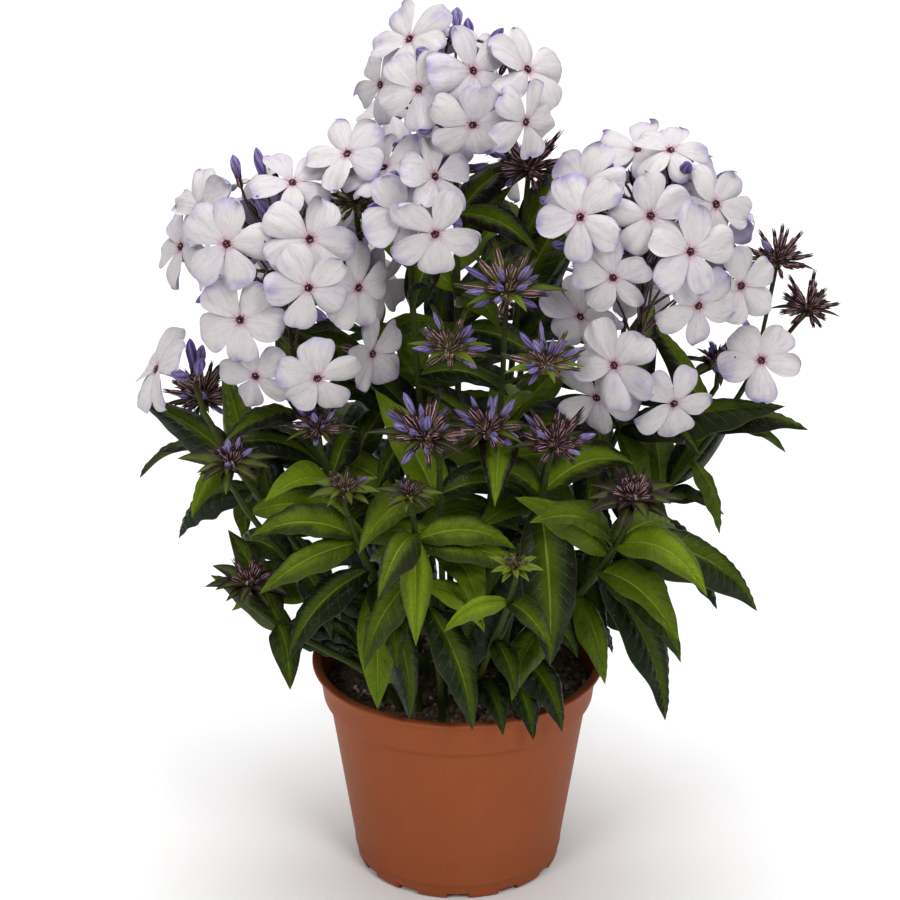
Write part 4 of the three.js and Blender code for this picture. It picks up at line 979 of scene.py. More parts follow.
def open_floret(skin, place, rng):
    eye, face = np.array(place["eye"]), np.array(place["face"])
    right = units(np.cross((0, 1, 0) if abs(face[2]) > 0.8 else (0, 0, 1), face))
    up = np.cross(face, right)
    tone = (rng.random(), rng.random(), rng.random())
    dish = rng.uniform(-0.8, 2.0)
    for lobe in range(LOBES):
        angle = math.radians(place["roll"] + 360 / LOBES * lobe)
        lobe_sheet(skin, eye, right, up, face, angle, place["radius"], rng, (rng.random(), *tone[1:]), dish)
    # The throat: a small ring, dark inside, with the anthers' tips just showing.
    angles, around = circle(THROAT_SIDES, right, up)
    ripple = 1 + 0.16 * np.cos(5 * (angles - math.radians(place["roll"])))
    points = [eye + THROAT_ENDS[0] * face]
    for radius, height in THROAT_RINGS:
        points += list(eye + height * face + radius * around * (ripple[:, None] if radius > 1.2 else 1))
    points.append(eye + THROAT_ENDS[1] * face)
    grid = 1 + np.arange(len(points) - 2).reshape(-1, THROAT_SIDES)
    skin.add(points, ring_faces(grid, 0, grid.size + 1), EYE, np.zeros((len(points), 3)), tone)
    for _ in range(2):
        angle = rng.uniform(0, TURN)
        spot = eye + 0.55 * (math.cos(angle) * right + math.sin(angle) * up) + 0.6 * face
        tube(skin, [spot - 0.5 * face, spot, spot + 0.4 * face], [0.16, 0.3, 0.1], 6, THROAT, tone)
    line = [eye - face * depth for depth in TUBE_DEPTHS]
    tube(skin, line, TUBE_RADII, 8, PETAL_BACK, (tone[0], 1, 1), None, right)
    calyx_and_stalk(skin, eye - face * (TUBE - 4.5), face, place["root"], rng, tone)


def furled_bud(skin, foot, way, length, radius, rng, tone):
    """Petals furled to a point: a spindle with five ridges that wind round it, by tone's second value."""
    shares = np.array([0, 0.1, 0.25, 0.42, 0.6, 0.76, 0.9, 1])
    profile = np.array([0.5, 0.62, 0.8, 0.95, 1, 0.84, 0.5, 0.1])
    line = foot + shares[:, None] * length * way
    right = units(np.cross(way, (0.31, 0.23, 0.92)))
    wind = rng.uniform(0.9, 1.9)
    tube(skin, line, profile * radius, 12, VIOLET, (tone[0], wind, tone[2]),
         lambda share, angle: 0.88 + 0.2 * np.abs(np.sin(2.5 * (angle + wind * share))), right)


def small_bract(skin, foot, end, size, rng, tone):
    """A young leaf from foot to end, arched upwards."""
    way = end - foot
    length = length_of(way)
    elevation = math.degrees(math.asin(clamp(way[2] / length, -1, 1)))
    leaf = {
        "root": tuple(foot), "azimuth": math.degrees(math.atan2(way[0], -way[1])), "sweep": 0,
        "rise": min(85, elevation + 14), "fall": elevation - 16, "length": length * 1.02, "slim": size,
        "fold": 0.5,
    }
    leaf_blade(skin, leaf, tone, (BRACT, BRACT_UNDER), rng, small=True)


# For each head: share of buds that show violet, greenness of calyces and bracts, and whether it is a whorl of
# young leaves with small buds in its middle.
HEAD_LOOKS = {
    "e": (0.52, 0.8, False), "f": (0.42, 0.4, False), "g": (0.25, 0.3, False), "h": (0.0, 0.2, True),
    "i": (0.3, 0.3, True), "j": (0.1, 0.3, True), "k": (0.05, 0.6, True), "n": (0.0, 1.0, True),
    "o": (0.15, 0.4, True), "p": (0.25, 0.3, False), "r": (0.4, 0.4, False), "s": (0.0, 0.8, False),
    "m": (0.05, 0.2, False), "w": (0.2, 0.3, True), "x": (0.3, 0.3, False), "y": (0.2, 0.3, True),
}
OPEN_HEAD = (0.4, 0.3, False)


def bud_unit(skin, heart, way, length, size, violet, rng, tone):
    """One bud of a cluster, on its stalk: a ribbed calyx, closed, or with furled violet petals out of it."""
    foot = heart + way * rng.uniform(2.5, 3.6) * size
    if violet:
        shown, plump = rng.uniform(0.5, 0.7), rng.uniform(0.95, 1.65)
        base = foot + way * length * (1 - shown)
        calyx_and_stalk(skin, base, way, heart, rng, tone, length * (1 - shown), 1.22 * size)
        petals = length * shown * (0.8 + 0.25 * plump) + 1.4
        furled_bud(skin, base - way * 1.4, way, petals, plump * size, rng, tone)
    else:
        base = foot + way * length * 0.95
        calyx_and_stalk(skin, base, way, heart, rng, tone, length * 0.74, 1.24 * size, True)


# The swollen middle of a cluster: heights and radii of its rings for a cluster of size 1.
CORE_HEIGHTS = (-4.2, -3, -1.2, 1.2, 2.6, 3.4)
CORE_RADII = (1.3, 2.2, 2.9, 2.9, 2.0)
CORE_TIP = 0.8


def bud_cluster(skin, made, look, rng):
    share, green, whorl = look
    heart, size = np.array(made["heart"]), made["size"]
    tone = (rng.random(), 0, 1 - green)
    line = [heart + (0, 0, height * size) for height in CORE_HEIGHTS]
    tube(skin, line, [radius * size for radius in CORE_RADII] + [CORE_TIP], 10, GREEN, tone,
         lambda s, angle: 1 + 0.12 * np.sin(5 * angle + 7 * s))

    def turned(way, spread):
        return units(np.array(way) + rng.normal(size=3) * spread)

    def tone_now():
        return (rng.random(), 0, clamp(1 - green + rng.uniform(-0.2, 0.2), 0, 1))

    def bud(way, length, scale, chance):
        bud_unit(skin, heart, way, length, size * scale, rng.random() < chance, rng, tone_now())

    for kind, foot, end in made["parts"]:
        foot, end = np.array(foot), np.array(end)
        way = units(end - foot)
        length = length_of(end - foot) * (1 if whorl or kind == "bract" else 1.22)
        if kind == "bract":
            small_bract(skin, heart + 0.5 * (foot - heart), end, 1.0 if whorl else 0.6, rng, tone_now())
        elif whorl:
            if way[2] < 0.75:
                aside = turned(way, 0.1)
                reach = length * rng.uniform(1.0, 1.25)
                small_bract(skin, heart + way * 1.5, foot + aside * reach, 1.05, rng, tone_now())
            for _ in range(2):
                bud(turned((way[0], way[1], way[2] + 0.5), 0.3), length * rng.uniform(0.55, 0.8), 0.85, share)
        else:
            bud(way, length, 1, share)
            for _ in range(2):
                bud(turned(way, 0.24), length * rng.uniform(0.6, 0.95), 0.9, share * 0.6)
    for way in made["gaps"]:
        if way[2] < -0.5:
            continue
        if not whorl:
            bud(turned(way, 0.12), size * rng.uniform(8, 11), 0.9, share * 0.6)
        elif way[2] < 0.25:
            start = heart + np.array(way) * 2.2 * size
            raised = turned(units(np.array(way) + (0, 0, 0.3)), 0.1)
            small_bract(skin, start, start + raised * size * rng.uniform(12, 17), 1.0, rng, tone_now())


# Buds between the florets of a head: their number, the share that is violet, the least radius of a head that
# has them, and the least distance from a floret's middle of one that stands out.
FILLERS = 34
VIOLET_FILLERS = 0.45
FILLED_HEAD = 22
BUD_ROOM = 12.5


def filler(skin, heart, grown, axis, rng):
    """Closed buds on their stalks inside an open head, seen between its florets."""
    eyes = np.array([place["eye"] for place in grown["florets"]])
    radius = float(np.median(np.linalg.norm(eyes - heart, axis=1)))
    if radius < FILLED_HEAD:
        return
    for i in range(FILLERS):
        elevation = math.degrees(math.asin(1 - 1.35 * (i + 0.5) / FILLERS))
        way = np.array(direction(GOLDEN_ANGLE * i + rng.uniform(-12, 12), elevation))
        # A furled bud stands out only where no floret's middle is near.
        room = np.min(np.linalg.norm(eyes - heart - way * radius, axis=1))
        violet, out = rng.random() < VIOLET_FILLERS, room > BUD_ROOM
        end = heart + way * radius * (rng.uniform(0.86, 1.06) if violet and out else rng.uniform(0.58, 0.8))
        root = branch_root(axis, tuple(end - way * 9))
        tone = (rng.random(), 0, rng.uniform(0.5, 1))
        if violet:
            aside = units(way + rng.normal(size=3) * 0.28)
            plump = rng.uniform(1.8, 2.7) if out else rng.uniform(1.4, 1.9)
            furled_bud(skin, end - aside * 4.5, aside, rng.uniform(7, 11), plump, rng, tone)
            calyx_and_stalk(skin, end - aside * 3.5, aside, root, rng, tone, 5.5, 1.3)
        else:
            calyx_and_stalk(skin, end, way, root, rng, tone, rng.uniform(7, 9), 1.45, True)


# A furled bud of an open head: how far its petals and its calyx start below the end of its node, how far it
# stands out beyond that end, and its sizes.
PETALS_BELOW = 9.6
CALYX_BELOW = 8.2
BUD_REACH = 4.5
BUD_PETALS = 9.8
BUD_RADIUS = 2.35
BUD_CALYX = 6.5


def head(shoot, grown):
    rng = np.random.default_rng(seed_of(shoot["name"]) + 5)
    skin = Skin()
    axis = axis_of(shoot)
    look = HEAD_LOOKS.get(shoot["name"], OPEN_HEAD)
    axis_tone = (0.5, 0, 1 - look[1])
    line = [blend(axis[0], axis[1], share) for share in (0, 0.5)]
    line += [blend(axis[1], axis[2], share) for share in np.linspace(0, 1, 6)]
    tube(skin, line, np.linspace(STEM_NECK_RADIUS, AXIS_TOP_RADIUS, len(line)) * 0.84, 10, AXIS, axis_tone)
    for i, made in enumerate(grown["clusters"]):
        bud_cluster(skin, made, look, rng)
        if i > 0 or "heart" in shoot:
            root, end = np.array(branch_root(axis, made["heart"])), np.array(made["heart"])
            middle = (root + end) / 2 + np.array((0, 0, -0.06 * np.linalg.norm(end - root)))
            line = bow(root, middle, end, np.linspace(0, 1, 7)[:, None])
            tube(skin, line, np.linspace(0.75, 1.05, 7), 8, AXIS, axis_tone)
    for place in grown["florets"]:
        open_floret(skin, place, rng)
    if "heart" in shoot:
        filler(skin, np.array(shoot["heart"]), grown, axis, rng)
    for root, end, way in grown["buds"]:
        tone = (rng.random(), rng.random(), rng.random())
        way, end = np.array(way), np.array(end)
        furled_bud(skin, end - way * PETALS_BELOW, way, BUD_PETALS + BUD_REACH, BUD_RADIUS, rng, tone)
        calyx_and_stalk(skin, end - way * CALYX_BELOW, way, root, rng, tone, BUD_CALYX)
    kind, slot = ("bloom", "floret") if "heart" in shoot else ("bud", "bud")
    name = f"{kind}_{shoot['name']}"
    skin.piece(f"head_{name}", HEAD_SKINS, name)


# ------------------------------------------------------------------------------------------------------------
# Pot and soil


def pot_piece():
    """The pot, turned from its profile. At a notch the foot of the profile is cut."""
    pitch = 360 / NOTCHES
    half = math.degrees(math.asin(NOTCH_WIDTH / 2 / (WALL_FOOT_RADIUS - 1)))
    beside = half + 0.12
    angles = []
    for i in range(NOTCHES):
        angles += [(pitch * i + turn, True) for turn in np.linspace(-half, half, 5)]
        angles += [(pitch * i + turn, False) for turn in np.linspace(beside, pitch - beside, 9)]
    wall_slope = (WALL_TOP_RADIUS - WALL_FOOT_RADIUS) / (BAND_FOOT - WALL)

    def outer(z):
        return WALL_FOOT_RADIUS + wall_slope * z

    def wall(*heights):
        return [(outer(z), z) for z in heights]

    def from_radius(radius, *steps):
        return [(radius + aside, z) for aside, z in steps]

    upper = [
        *wall(5, 7.4), (outer(7.6) + 0.28, 7.7), (outer(8) + 0.3, 8.2), (outer(9), 8.6),
        *wall(14, 24, 36, 48, 60, 70, 78), *from_radius(WALL_TOP_RADIUS, (-0.15, 80.2), (0.5, 80.9)),
        *from_radius(BAND_FOOT_RADIUS, (-0.6, 81.6), (-0.1, 81.8), (0.15, 82.5), (0.6, 86), (1.4, 91)),
        *from_radius(BAND_TOP_RADIUS, (-0.2, 96.4), (0.2, 97.0), (1.2, 97.25)),
        *from_radius(LIP_RADIUS, (-0.5, 97.3), (-0.12, 97.5), (0, 97.9), (0, 98.4), (-0.2, 98.8), (-0.6, 99)),
        *from_radius(BAND_TOP_RADIUS, (0.5, 99), (0.3 - WALL, 98.95), (-0.1 - WALL, 98.6)),
        *from_radius(BAND_FOOT_RADIUS - WALL, (0.9, 90), (0.1, 84), (-0.3, 83.2)),
        *from_radius(WALL_TOP_RADIUS - WALL, (0.4, 82.3), (-0.1, 81.6)),
        (outer(60) - WALL, 60), (outer(30) - WALL, 30),
        *from_radius(FLOOR_RADIUS, (0.4, 5.2), (-0.5, 3.9), (-2, FLOOR_TOP)),
        (20, FLOOR_TOP), (0.4, FLOOR_TOP),
    ]
    underside = [(0.4, FLOOR_UNDERSIDE), (20, FLOOR_UNDERSIDE), (FOOT_RING_INSIDE - 0.8, FLOOR_UNDERSIDE)]
    standing = [
        *underside, *from_radius(FOOT_RING_INSIDE, (-0.5, 1.6), (-0.2, 0.4), (0.2, 0), (1.2, 0)),
        *from_radius(WALL_FOOT_RADIUS, (-1.6, 0), (-0.9, 0.25), (-0.25, 0.9)), *wall(1.9, 3),
    ]
    ceiling = [(FOOT_RING_INSIDE + aside, NOTCH_HEIGHT) for aside in (-0.7, 0, 0.8, 1.5, 2, 2.5, 3, 3.4)]
    cut = [*underside, *ceiling, (outer(3) - 0.1, 3.05)]
    points, places = [], []
    for angle, notched in angles:
        turn = math.radians(angle)
        profile = (cut if notched else standing) + upper
        for k, (radius, z) in enumerate(profile):
            points.append((math.sin(turn) * radius, -math.cos(turn) * radius, z))
            places.append((k / len(profile), angle / 180, 0))
    grid = np.arange(len(points)).reshape(len(angles), -1).T
    points += [(0, 0, FLOOR_UNDERSIDE), (0, 0, FLOOR_TOP)]
    places += [(0, 0, 0), (1, 0, 0)]
    skin = Skin()
    skin.add(points, ring_faces(grid, grid.size, grid.size + 1), 0, places, (0, 0, 0))
    skin.piece("nursery_pot", [pot_material()], "pot", POT_SHARP)


# The soil: its edge under the pot's band, the grid of its top, the room round each stem, and what lies on it
# as (material, number, least and largest size).
SOIL_RIM = BAND_FOOT_RADIUS - WALL - 2 * FIT
SOIL_RINGS = 58
SOIL_SIDES = 200
STEM_ROOM = 3.5
# The soil's crumbs: height in millimetres and scale of each layer of noise.
CRUMBS = ((1.5, 0.16), (1.0, 0.42), (0.6, 1.1))
PEAT, FIBRE, PERLITE, BARK = range(4)
LUMPS = ((PEAT, 420, (0.5, 1.9)), (PERLITE, 80, (0.6, 1.9)), (BARK, 110, (0.8, 2.3)))
FIBRES = 220


def soil_height(x, y):
    z = np.interp(math.hypot(x, y), (0, SOIL_CROWN_RADIUS, SOIL_SHOULDER[0], SOIL_RIM),
                  (SOIL_CROWN, SOIL_CROWN, SOIL_SHOULDER[1], SOIL_EDGE))
    return z + SOIL_BUMP * math.sin(SOIL_WAVES[0] * x + 1) * math.cos(SOIL_WAVES[1] * y)


def crumbs(x, y):
    place = Vector((x, y, 0))
    return sum(height * noise.noise(place * scale) for height, scale in CRUMBS)


def soil_body(skin):
    """The filling of the pot: its crumbled top, from the middle out, its side and its flat bottom."""
    points = [(0, 0, soil_height(0, 0))]
    side = [(WALL_TOP_RADIUS - WALL - FIT, BAND_FOOT), (FLOOR_RADIUS - FIT, FLOOR_TOP + FIT)]
    rings = [(SOIL_RIM * (i / SOIL_RINGS), None) for i in range(1, SOIL_RINGS + 1)] + side
    for i, (radius, z) in enumerate(rings, 1):
        for k in range(SOIL_SIDES):
            angle = 2 * math.pi * k / SOIL_SIDES
            x, y = radius * math.cos(angle), radius * math.sin(angle)
            calm = min(1, 1.5 * (1 - i / SOIL_RINGS) + 0.3)
            points.append((x, y, soil_height(x, y) + crumbs(x, y) * calm if z is None else z))
    points.append((0, 0, FLOOR_TOP + FIT))
    grid = 1 + np.arange(len(points) - 2).reshape(-1, SOIL_SIDES)
    faces = flipped(ring_faces(grid, 0, grid.size + 1))
    skin.add(points, faces, PEAT, np.zeros((len(points), 3)), (0.5, 0, 0))


def soil_piece():
    rng = np.random.default_rng(77)
    skin = Skin()
    soil_body(skin)
    feet = [shoot["foot"] for shoot in SHOOTS]

    def free_spot():
        while True:
            radius, angle = (SOIL_RIM - 1.5) * math.sqrt(rng.random()), rng.uniform(0, 6.283)
            x, y = radius * math.cos(angle), radius * math.sin(angle)
            if all(math.hypot(x - foot[0], y - foot[1]) > STEM_ROOM for foot in feet):
                return x, y

    ball = np.array([unit(corner) for corner in KNOB_CORNERS])
    for kind, count, sizes in LUMPS:
        for _ in range(count):
            x, y = free_spot()
            size = rng.uniform(*sizes)
            stretch = rng.uniform(0.55, 1.25, 3) * size
            lift = soil_height(x, y) + 0.6 * crumbs(x, y) + 0.25 * size
            turn = rng.uniform(0, TURN)
            cosine, sine = math.cos(turn), math.sin(turn)
            spin = np.array(((cosine, -sine, 0), (sine, cosine, 0), (0, 0, 1)))
            body = (ball * rng.uniform(0.75, 1.2, (12, 1)) * stretch) @ spin.T + np.array((x, y, lift))
            skin.add(body, KNOB_FACES, kind, np.zeros((12, 3)), (rng.random(), rng.random(), 0))
    for _ in range(FIBRES):
        x, y = free_spot()
        turn, bend = rng.uniform(0, TURN), rng.uniform(-0.9, 0.9)
        length, radius = rng.uniform(5, 15), rng.uniform(0.12, 0.3)
        line = []
        for step in range(6):
            z = soil_height(x, y) + crumbs(x, y) + 0.5 + 0.6 * math.sin(step * 1.3 + turn)
            if math.hypot(x, y) > SOIL_RIM - 0.8:
                break
            line.append((x, y, z))
            x += length / 5 * math.cos(turn)
            y += length / 5 * math.sin(turn)
            turn += bend / 5
        if len(line) > 2:
            radii = [radius * 0.4] + [radius] * (len(line) - 2) + [radius * 0.3]
            tube(skin, line, radii, 5, FIBRE, (rng.random(), 0, 0))
    skin.piece("potting_soil", SOIL_SKINS, "soil")


# ------------------------------------------------------------------------------------------------------------
# Materials


class Value:
    """The output of a node. Its sums, differences and products are Math nodes of their own."""

    def __init__(self, tree, socket):
        self.tree, self.socket = tree, socket

    def __add__(self, other):
        return self.tree.math("ADD", self, other)

    def __mul__(self, other):
        return self.tree.math("MULTIPLY", self, other)

    def __sub__(self, other):
        return self.tree.math("SUBTRACT", self, other)

    def __rsub__(self, other):
        return self.tree.math("SUBTRACT", other, self)

    def __abs__(self):
        return self.tree.math("ABSOLUTE", self)


class Tree:
    """A material and short names for the nodes that this scene uses."""

    def __init__(self, name, **sockets):
        self.material = bpy.data.materials.new(name)
        self.material.use_nodes = True
        self.nodes, self.links = self.material.node_tree.nodes, self.material.node_tree.links
        self.shader = self.nodes["Principled BSDF"]
        for key, value in sockets.items():
            self.shader.inputs[key.replace("_", " ")].default_value = value

    def feed(self, made, inputs):
        for key, value in inputs.items():
            if isinstance(value, Value):
                self.links.new(value.socket, made.inputs[key])
            else:
                made.inputs[key].default_value = (*value, 1) if isinstance(value, tuple) else value

    def node(self, kind, inputs, output=0, **settings):
        made = self.nodes.new(kind)
        for key, value in settings.items():
            setattr(made, key, value)
        self.feed(made, inputs)
        return Value(self, made.outputs[output])

    def place(self):
        return self.node("ShaderNodeTexCoord", {}, "Object")

    def attribute(self, name):
        vector = self.node("ShaderNodeAttribute", {}, "Vector", attribute_name=name)
        parts = self.nodes.new("ShaderNodeSeparateXYZ")
        self.feed(parts, {0: vector})
        return [Value(self, output) for output in parts.outputs]

    def noise(self, scale, detail=4.0, rough=0.55, vector=None):
        inputs = {"Vector": vector or self.place(), "Scale": scale, "Detail": detail, "Roughness": rough}
        return self.node("ShaderNodeTexNoise", inputs, "Fac")

    def streaks(self, scale, detail, rough, x, y, z):
        """Noise over three values, for grain that runs along a piece."""
        vector = self.node("ShaderNodeCombineXYZ", {0: x, 1: y, 2: z})
        return self.noise(scale, detail, rough, vector)

    def cells(self, scale):
        return self.node("ShaderNodeTexVoronoi", {"Vector": self.place(), "Scale": scale}, "Distance")

    def math(self, operation, a, b=0.0):
        return self.node("ShaderNodeMath", {0: a, 1: b}, operation=operation)

    def within(self, value, low, high, to_low=0.0, to_high=1.0):
        inputs = {"Value": value, "From Min": low, "From Max": high, "To Min": to_low, "To Max": to_high}
        return self.node("ShaderNodeMapRange", inputs, "Result", interpolation_type="SMOOTHSTEP")

    def mix(self, share, a, b):
        return self.node("ShaderNodeMix", {0: share, 6: a, 7: b}, 2, data_type="RGBA")

    def bump(self, height, strength, distance, **normal):
        inputs = {"Height": height, "Strength": strength, "Distance": distance, **normal}
        return self.node("ShaderNodeBump", inputs, "Normal")

    def finish(self, colour, rough, normal):
        self.feed(self.shader, {"Base Color": colour, "Roughness": rough, "Normal": normal})
        return self.material


def leaf_material(name, under):
    tree = Tree(name, Specular_IOR_Level=0.08 if under else 0.13)
    _, across, phase = tree.attribute("blade")
    _, dark, violet = tree.attribute("tone")
    reach = abs(across)
    side = tree.within(abs(tree.math("FRACT", phase) - 0.5), 0.42, 0.5) * tree.within(reach, 1.0, 0.55)
    rib = tree.within(reach, 0.06, 0.02)
    if under:
        deep, fresh, vein = (0.04, 0.065, 0.018), (0.105, 0.15, 0.04), (0.17, 0.2, 0.08)
    else:
        deep, fresh, vein = (0.006, 0.013, 0.003), (0.17, 0.255, 0.008), (0.32, 0.37, 0.08)
    blotch = tree.noise(75.0, 5.0, 0.62)
    # A darker blade goes towards deep: older low leaves, and painted shade on leaves further back.
    colour = tree.mix(tree.within(dark * 0.8 + blotch * 0.42, 0.14, 0.82), fresh, deep)
    fine = tree.cells(1100.0)
    colour = tree.mix(fine * 0.3, colour, deep)
    # The tissue is paler beside the midrib, and a young blade is dark violet towards its margin.
    colour = tree.mix(tree.within(reach, 0.5, 0.0) * 0.35, colour, fresh)
    flush = tree.within(reach * 0.8 + tree.noise(60.0, 3.0) * 0.7, 0.55, 1.0)
    colour = tree.mix(flush * tree.within(violet, 0.1, 0.9), colour, (0.009, 0.006, 0.006))
    pale = 1.0 - dark * 0.6
    colour = tree.mix(side * (pale * 0.19), colour, vein)
    colour = tree.mix(rib * (pale * 0.9), colour, vein)
    colour = tree.mix(tree.within(reach, 0.975, 1.0) * 0.5, colour, (0.15, 0.17, 0.07))
    speck = tree.within(tree.cells(260.0), 0.085, 0.05)
    colour = tree.mix(speck * 0.5, colour, (0.25, 0.25, 0.2))
    rough = tree.within(tree.noise(260.0, 3.0), 0.2, 0.8, 0.55 if under else 0.24, 0.75 if under else 0.4)
    if not under:
        # A dark, full-grown blade is glossy in patches.
        gloss = tree.within(tree.noise(48.0, 3.0), 0.42, 0.62) * tree.within(dark, 0.3, 1.0)
        tree.feed(tree.shader, {"Specular IOR Level": gloss * 0.13 + 0.07})
    relief = fine * 0.7 - side * 0.9 + tree.noise(380.0, 4.0)
    return tree.finish(colour, rough, tree.bump(relief, 0.5, 0.0004))


def bract_material(name, under):
    tree = Tree(name, Specular_IOR_Level=0.14)
    _, across, _ = tree.attribute("blade")
    _, _, violet = tree.attribute("tone")
    reach = abs(across)
    bronze, green = (0.014, 0.006, 0.008), (0.12, 0.165, 0.012)
    if under:
        bronze, green = (0.03, 0.012, 0.016), (0.07, 0.1, 0.025)
    amount = violet * 0.66 + tree.noise(160.0) * 0.35 + reach * 0.4
    colour = tree.mix(tree.within(amount, 0.35, 0.95), green, bronze)
    colour = tree.mix(tree.within(reach, 0.16, 0.03) * 0.5, colour, (0.1, 0.13, 0.035))
    rough = tree.within(tree.noise(320.0), 0.2, 0.8, 0.36, 0.6)
    return tree.finish(colour, rough, tree.bump(tree.noise(900.0, 3.0), 0.4, 0.0003))


def stem_material(name, purple):
    tree = Tree(name, Specular_IOR_Level=0.1)
    share, round_, _ = tree.attribute("blade")
    chance, _, _ = tree.attribute("tone")
    streak = tree.streaks(6.0, 4.0, 0.6, share * 1.5, round_ * 9.0, chance)
    amount = streak * 0.8 + share * purple
    colour = tree.mix(tree.within(amount, 0.4, 1.0), (0.045, 0.064, 0.011), (0.02, 0.01, 0.007))
    rough = tree.within(streak, 0.2, 0.8, 0.42, 0.62)
    return tree.finish(colour, rough, tree.bump(streak + tree.noise(1500.0, 2.0) * 0.4, 0.5, 0.0004))


def calyx_material():
    tree = Tree("calyx_and_stalk", Specular_IOR_Level=0.3)
    share, round_, _ = tree.attribute("blade")
    chance, _, violet = tree.attribute("tone")
    streak = tree.streaks(5.0, 4.0, 0.6, share * 1.2, round_ * 8.0, chance)
    amount = streak * 0.6 + violet * 0.35 + share * 0.35
    colour = tree.mix(tree.within(amount, 0.3, 0.7), (0.12, 0.13, 0.016), (0.022, 0.004, 0.011))
    # Pale membranes join the five dark ribs, and fade into green at the foot.
    rib = abs(tree.math("SINE", round_ * (2.5 * math.pi)))
    pale = tree.within(rib, 0.84, 0.97) * tree.within(share, 0.05, 0.4, 0.1, 1.0)
    pale = pale * tree.within(streak, 0.4, 0.58, 0.1, 1.0)
    colour = tree.mix(pale, colour, (0.85, 0.5, 0.5))
    rough = tree.within(streak, 0.2, 0.8, 0.4, 0.62)
    return tree.finish(colour, rough, tree.bump(streak + tree.noise(1300.0, 3.0) * 0.6, 0.5, 0.0004))


def tooth_material():
    tree = Tree("calyx_tooth", Specular_IOR_Level=0.25)
    _, _, violet = tree.attribute("tone")
    amount = tree.noise(300.0) * 0.5 + violet * 0.5
    colour = tree.mix(tree.within(amount, 0.15, 0.7), (0.06, 0.07, 0.014), (0.022, 0.005, 0.011))
    rough = tree.within(tree.noise(500.0), 0.2, 0.8, 0.4, 0.62)
    return tree.finish(colour, rough, tree.bump(tree.noise(1300.0, 3.0), 0.4, 0.0003))


def petal_material(name, back):
    tree = Tree(name, Specular_IOR_Level=0.15, Sheen_Weight=0.06, Sheen_Roughness=0.5)
    share, across, lobe = tree.attribute("blade")
    chance, _, _ = tree.attribute("tone")
    reach = abs(across)
    white, lavender, blue = (0.585, 0.55, 0.55), (0.38, 0.34, 0.54), (0.19, 0.15, 0.42)
    if back:
        white, lavender = (0.5, 0.47, 0.53), (0.33, 0.29, 0.5)
    cloud = tree.noise(110.0, 4.0, 0.6)
    # Lavender towards the margins and the tip is partly the petal's own tint and partly painted shade.
    edge = tree.within(reach, 0.72, 1.05) * 0.5 + tree.within(share, 0.72, 1.0) * 0.5
    amount = cloud * 0.75 + edge * 0.6 + chance * 0.3
    if back:
        amount = amount + 0.3
    colour = tree.mix(tree.within(amount, 0.5, 1.3), white, lavender)
    streak = tree.streaks(3.0, 5.0, 0.65, share * 1.6, across * 7.0, chance)
    patch = tree.within(tree.noise(55.0, 3.0), 0.56, 0.72) * tree.within(share, 0.35, 0.95)
    colour = tree.mix(patch * (0.65 if back else 0.55), colour, blue)
    colour = tree.mix(tree.within(streak, 0.52, 0.8) * 0.16, colour, blue)
    # The blue rim along the margins and the tip, in patches, is partly the petal's tint and partly painted
    # shade.
    rim = tree.math("MAXIMUM", tree.within(reach, 0.8, 1.0), tree.within(share, 0.9, 1.0))
    rim = rim * tree.within(tree.noise(70.0, 3.0), 0.42, 0.62)
    colour = tree.mix(rim * 0.52, colour, blue)
    # Soft creases run along a lobe: painted shade in grey, and painted light in paler cream between them.
    crease_shade_and_light = tree.streaks(2.2, 3.0, 0.5, share * 0.9, across * 2.6, lobe)
    colour = tree.mix(tree.within(crease_shade_and_light, 0.5, 0.7) * 0.36, colour, (0.37, 0.33, 0.36))
    colour = tree.mix(tree.within(crease_shade_and_light, 0.46, 0.3) * 0.3, colour, (0.66, 0.62, 0.58))
    # Faint veins fan out over each lobe, and a few short dark rays leave the eye.
    fan = tree.streaks(7.0, 2.0, 0.5, share * 0.5, across, lobe)
    fan = tree.within(abs(fan - 0.5), 0.035, 0.0)
    colour = tree.mix(fan * 0.28, colour, (0.32, 0.28, 0.4))
    colour = tree.mix(tree.within(share, 0.24, 0.04) * 0.3, colour, (0.55, 0.25, 0.4))
    ray = tree.within(share, 0.16, 0.06) * tree.within(streak, 0.5, 0.58)
    colour = tree.mix(ray * 0.85, colour, (0.2, 0.02, 0.08))
    colour = tree.mix(tree.within(share, 0.05, 0.02), colour, (0.12, 0.008, 0.035))
    rough = tree.within(cloud, 0.2, 0.8, 0.5, 0.7)
    return tree.finish(colour, rough, tree.bump(streak + tree.noise(1400.0, 2.0) * 0.25, 0.4, 0.0006))


def spotted_material(name, scale, low, high, dark, light, rough, relief, **sockets):
    """Fine spots of two colours, for the small middle of a floret."""
    tree = Tree(name, **sockets)
    spot = tree.noise(scale, 3.0)
    colour = tree.mix(tree.within(spot, low, high), dark, light)
    return tree.finish(colour, tree.within(spot, 0.2, 0.8, *rough), tree.bump(spot, 0.5, relief))


